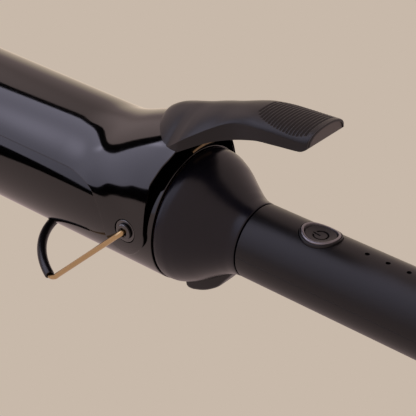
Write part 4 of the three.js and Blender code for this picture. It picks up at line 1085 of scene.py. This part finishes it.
# ------------------------------------------------------------------ pivots
for side, ax in (("near", "-y"), ("far", "y")):
    bush = lathe(f"hinge_bush_{side}", rounded([(25.3, 2.05), (25.3, 4.1), (26.3, 4.2), (26.3, 2.05)], [0, 0.1, 0.25, 0.1], 4), SCREW, 96, origin=(PIVOT_X, 0, 0), axis=ax)
    stand_in(bush, f"pivot_bush_{side}")
    screw = lathe(f"hinge_screw_{side}", rounded([(18.2, 0), (18.2, 1.45), (23.6, 1.45), (23.7, 1.75), (26.6, 1.75), (26.6, 3.0), (27.45, 3.0), (27.6, 2.6), (27.6, 1.75), (27.2, 1.35), (25.0, 1.35), (25.0, 0)],
                                       [0, 0.2, 0, 0, 0, 0.12, 0.3, 0.3, 0.2, 0.1, 0, 0], 4, closed=False), SCREW, 72, origin=(PIVOT_X, 0, 0), axis=ax)
    stand_in(screw, f"pivot_screw_{side}")


# ------------------------------------------------------------------ clamp spring
def spring_piece():
    line = spline([(-8.5, 25.6), (-5, 25.6), (-1.9, 25.65), (0.0, 26.1), (1.0, 26.8), (1.35, 27.6), (0.95, 28.25), (-0.3, 28.6), (-2.6, 29.0), (-5.2, 29.9), (-8.2, 31.3), (-10.6, 32.25), (-12.4, 32.3)], 90)
    T = np.gradient(line, axis=0)
    T /= np.linalg.norm(T, axis=1)[:, None]
    N = np.stack([-T[:, 1], T[:, 0]], 1) * 0.21
    ring = np.vstack([line + N, (line - N)[::-1]])
    ys = np.linspace(-5.5, 5.5, 41)
    V = []
    for y in ys:
        s = y / 25.5
        for x, r in ring:
            V.append((x, -r * math.sin(s), r * math.cos(s)))
    m = len(ring)
    F = grid_faces(len(ys), m, wrap_v=True)
    F.append(tuple(range(m)))
    F.append(tuple(range((len(ys) - 1) * m, len(ys) * m))[::-1])
    return make("spring_leaf", V, outward(V, F), LEAF_PAINTED_SHADE_GLINTS, 45)


spring = spring_piece()
stand_in(spring, "clamp_spring")

# ------------------------------------------------------------------ surroundings
BACK = (0.578, 0.485, 0.402)
ROOM = (0.60, 0.46, 0.44)
RIM_FROM = (-0.512, 0.682, -0.17)
scene = bpy.context.scene
scene.view_settings.view_transform = "Standard"
scene.view_settings.look = "None"
world = bpy.data.worlds.new("studio")
scene.world = world
world.use_nodes = True


def sky_nodes():
    """Pale paper to the camera; to the object a room of nearly that colour, a little brighter beside the softbox."""
    nt = world.node_tree
    bg = nt.nodes["Background"]
    tc = nt.nodes.new("ShaderNodeTexCoord")
    dot = nt.nodes.new("ShaderNodeVectorMath")
    dot.operation = "DOT_PRODUCT"
    g = turn(np.array([-0.857, 0.12, 0.5]))
    dot.inputs[1].default_value = tuple(g / np.linalg.norm(g))
    nt.links.new(tc.outputs["Generated"], dot.inputs[0])
    mr = nt.nodes.new("ShaderNodeMapRange")
    mr.interpolation_type = "SMOOTHSTEP"
    mr.inputs["From Min"].default_value = 0.87
    mr.inputs["From Max"].default_value = 1.0
    nt.links.new(dot.outputs["Value"], mr.inputs["Value"])
    room = mix_color(nt, mr.outputs[0], ROOM, (1.05, 0.82, 0.80))
    # a low warm light behind the object draws its upper edges
    far = nt.nodes.new("ShaderNodeVectorMath")
    far.operation = "DOT_PRODUCT"
    h = turn(np.array(RIM_FROM))
    far.inputs[1].default_value = tuple(h / np.linalg.norm(h))
    nt.links.new(tc.outputs["Generated"], far.inputs[0])
    edge = nt.nodes.new("ShaderNodeMapRange")
    edge.interpolation_type = "SMOOTHSTEP"
    edge.inputs["From Min"].default_value = 0.885
    edge.inputs["From Max"].default_value = 0.985
    nt.links.new(far.outputs["Value"], edge.inputs["Value"])
    lit = nt.nodes.new("ShaderNodeMix")
    lit.data_type = "RGBA"
    nt.links.new(edge.outputs[0], lit.inputs[0])
    nt.links.new(room, lit.inputs[6])
    lit.inputs[7].default_value = (0.94, 0.76, 0.60, 1)
    room = lit.outputs[2]
    lp = nt.nodes.new("ShaderNodeLightPath")
    m = nt.nodes.new("ShaderNodeMix")
    m.data_type = "RGBA"
    nt.links.new(lp.outputs["Is Camera Ray"], m.inputs[0])
    nt.links.new(room, m.inputs[6])
    m.inputs[7].default_value = (*BACK, 1)
    nt.links.new(m.outputs[2], bg.inputs[0])
    bg.inputs[1].default_value = 1.0


sky_nodes()


def emitter(name, color, strength=1.0):
    mat = bpy.data.materials.new(name)
    nt = nodes_of(mat)
    out = nt.nodes.new("ShaderNodeOutputMaterial")
    em = nt.nodes.new("ShaderNodeEmission")
    em.inputs[0].default_value = (*color, 1)
    em.inputs[1].default_value = strength
    nt.links.new(em.outputs[0], out.inputs[0])
    return mat


def panel(name, corners, mat, camera=False):
    me = bpy.data.meshes.new(name)
    me.from_pydata([tuple(c) for c in corners], [], [tuple(range(len(corners)))])
    o = bpy.data.objects.new(name, me)
    me.materials.append(mat)
    scene.collection.objects.link(o)
    o.visible_camera = camera
    return o


floor = panel("floor", [(-6, -6, 0), (6, -6, 0), (6, 6, 0), (-6, 6, 0)], emitter("floor_paper", BACK), camera=True)
floor.visible_glossy = False
floor.visible_diffuse = False

# The softbox and the black cloth along two of its sides stand in one plane, in front and above.
LIGHT_DIR = np.array([-0.72725341, -0.46279762, 0.50687359])
LIGHT_U = np.array([0.53687549, -0.84366149, 0.0])
LIGHT_V = np.array([0.42762973, 0.27212801, 0.8620204])
LIGHT_AT = np.array([-40.0, 0.0, 10.0]) + LIGHT_DIR * 1200.0


def stand_panel(name, uv, mat, lift=0.0):
    P = [LIGHT_AT - LIGHT_DIR * lift + LIGHT_U * u + LIGHT_V * v for u, v in uv]
    return panel(name, place(P), mat)


def softbox_cloth():
    """White cloth with the lamp's hot centre behind it and a slow fall-off to one side."""
    mat = bpy.data.materials.new("softbox_cloth")
    nt = nodes_of(mat)
    out = nt.nodes.new("ShaderNodeOutputMaterial")
    em = nt.nodes.new("ShaderNodeEmission")
    tc = nt.nodes.new("ShaderNodeTexCoord")

    def along(direction, centre, width):
        """Coordinate along a direction in the cloth's plane, zero at centre, one at width."""
        d = nt.nodes.new("ShaderNodeVectorMath")
        d.operation = "DOT_PRODUCT"
        w = turn(direction) / (width / 1000.0)
        d.inputs[1].default_value = tuple(w)
        nt.links.new(tc.outputs["Object"], d.inputs[0])
        a = nt.nodes.new("ShaderNodeMath")
        a.operation = "SUBTRACT"
        a.inputs[1].default_value = float(place([centre])[0] @ w)
        nt.links.new(d.outputs["Value"], a.inputs[0])
        return a.outputs[0]

    def op(kind, a, b=None):
        m = nt.nodes.new("ShaderNodeMath")
        m.operation = kind
        for k, q in enumerate((a, b)):
            if q is None:
                continue
            if isinstance(q, (int, float)):
                m.inputs[k].default_value = q
            else:
                nt.links.new(q, m.inputs[k])
        return m.outputs[0]

    def spot(u, v, rot, su, sv, amount):
        c = LIGHT_AT + LIGHT_U * u + LIGHT_V * v
        a = along(LIGHT_U * math.cos(rot) + LIGHT_V * math.sin(rot), c, su)
        b = along(-LIGHT_U * math.sin(rot) + LIGHT_V * math.cos(rot), c, sv)
        e = op("EXPONENT", op("MULTIPLY", op("ADD", op("POWER", op("ABSOLUTE", a), 2.0), op("POWER", op("ABSOLUTE", b), 2.0)), -1.0))
        return op("MULTIPLY", e, amount)

    level = op("ADD", op("MULTIPLY", along(LIGHT_U, LIGHT_AT, 1000.0), -0.8), 1.38)
    level = op("ADD", level, spot(93, 165, 2.245, 281, 86, 0.85))
    level = op("ADD", level, spot(-250, 45, 0.35, 110, 60, 1.1))
    level = op("MAXIMUM", level, 0.55)
    em.inputs[0].default_value = (1.0, 0.95, 1.2, 1)
    nt.links.new(level, em.inputs[1])
    nt.links.new(em.outputs[0], out.inputs[0])
    return mat


def outline(*runs):
    """Smooth runs of corners, joined."""
    out = []
    for r in runs:
        out += [tuple(p) for p in (spline(r, 24) if len(r) > 2 else np.array(r, float))]
    return out


EDGE_IN = [(150, -1180), (-180, -250), (-290, 10), (-345, 130), (-405, 290), (-470, 440), (-522, 540), (-590, 640), (-680, 780), (-800, 960), (-930, 1200)]
EDGE_OUT = [(-60, -1180), (-380, -250), (-500, 10), (-580, 180), (-650, 320), (-690, 460), (-690, 590), (-760, 690), (-840, 780), (-960, 870), (-1130, 960), (-1300, 1200)]
LOW_IN = [(330, -1180), (405, -850), (455, -652), (520, -638), (580, -640), (700, -690), (760, -750), (900, -800)]
LOW_OUT = [(900, -960), (760, -950), (638, -962), (511, -1128), (430, -1300), (330, -1450)]
SOFTBOX = outline(EDGE_IN, [(900, 1200), (900, -800)], LOW_IN[::-1])
FLAG_LEFT = outline(EDGE_OUT, EDGE_IN[::-1])
FLAG_LOW = outline(LOW_IN, LOW_OUT)
stand_panel("softbox", SOFTBOX, softbox_cloth())
BLACK = emitter("flag_cloth", (0.0, 0.0, 0.0), 0.0)
stand_panel("flag_left", FLAG_LEFT, BLACK, 6.0)
stand_panel("flag_low", FLAG_LOW, BLACK, 6.0)

# ------------------------------------------------------------------ camera
cam_data = bpy.data.cameras.new("camera")
cam = bpy.data.objects.new("camera", cam_data)
scene.collection.objects.link(cam)
scene.camera = cam
cam_data.sensor_width = 36
cam_data.lens = 1524.1958 / 416 * 36
cam_data.clip_start, cam_data.clip_end = 0.01, 50


def camera_place():
    az, el, roll = 36.8816 * D, 31.5379 * D, -3.0526 * D
    back = np.array([math.sin(az) * math.cos(el), -math.cos(az) * math.cos(el), math.sin(el)])
    right = np.array([math.cos(az), math.sin(az), 0.0])
    up = np.cross(back, right)
    c, s = math.cos(roll), math.sin(roll)
    r2 = c * right - s * up
    u2 = s * right + c * up
    # the seam's centre is seen at (197.4172, 212.61) at this distance
    f, dist = 1524.1958, 534.539
    px, py = 197.4172, 212.61
    cpos = -((px - 208) / f * dist) * r2 + ((py - 208) / f * dist) * u2 + dist * back
    return cpos, r2, u2, back


_c, _r, _u, _b = camera_place()
M = np.eye(4)
M[:3, 0], M[:3, 1], M[:3, 2] = turn(_r), turn(_u), turn(_b)
M[:3, 3] = place([_c])[0]
cam.matrix_world = Matrix(M.tolist())
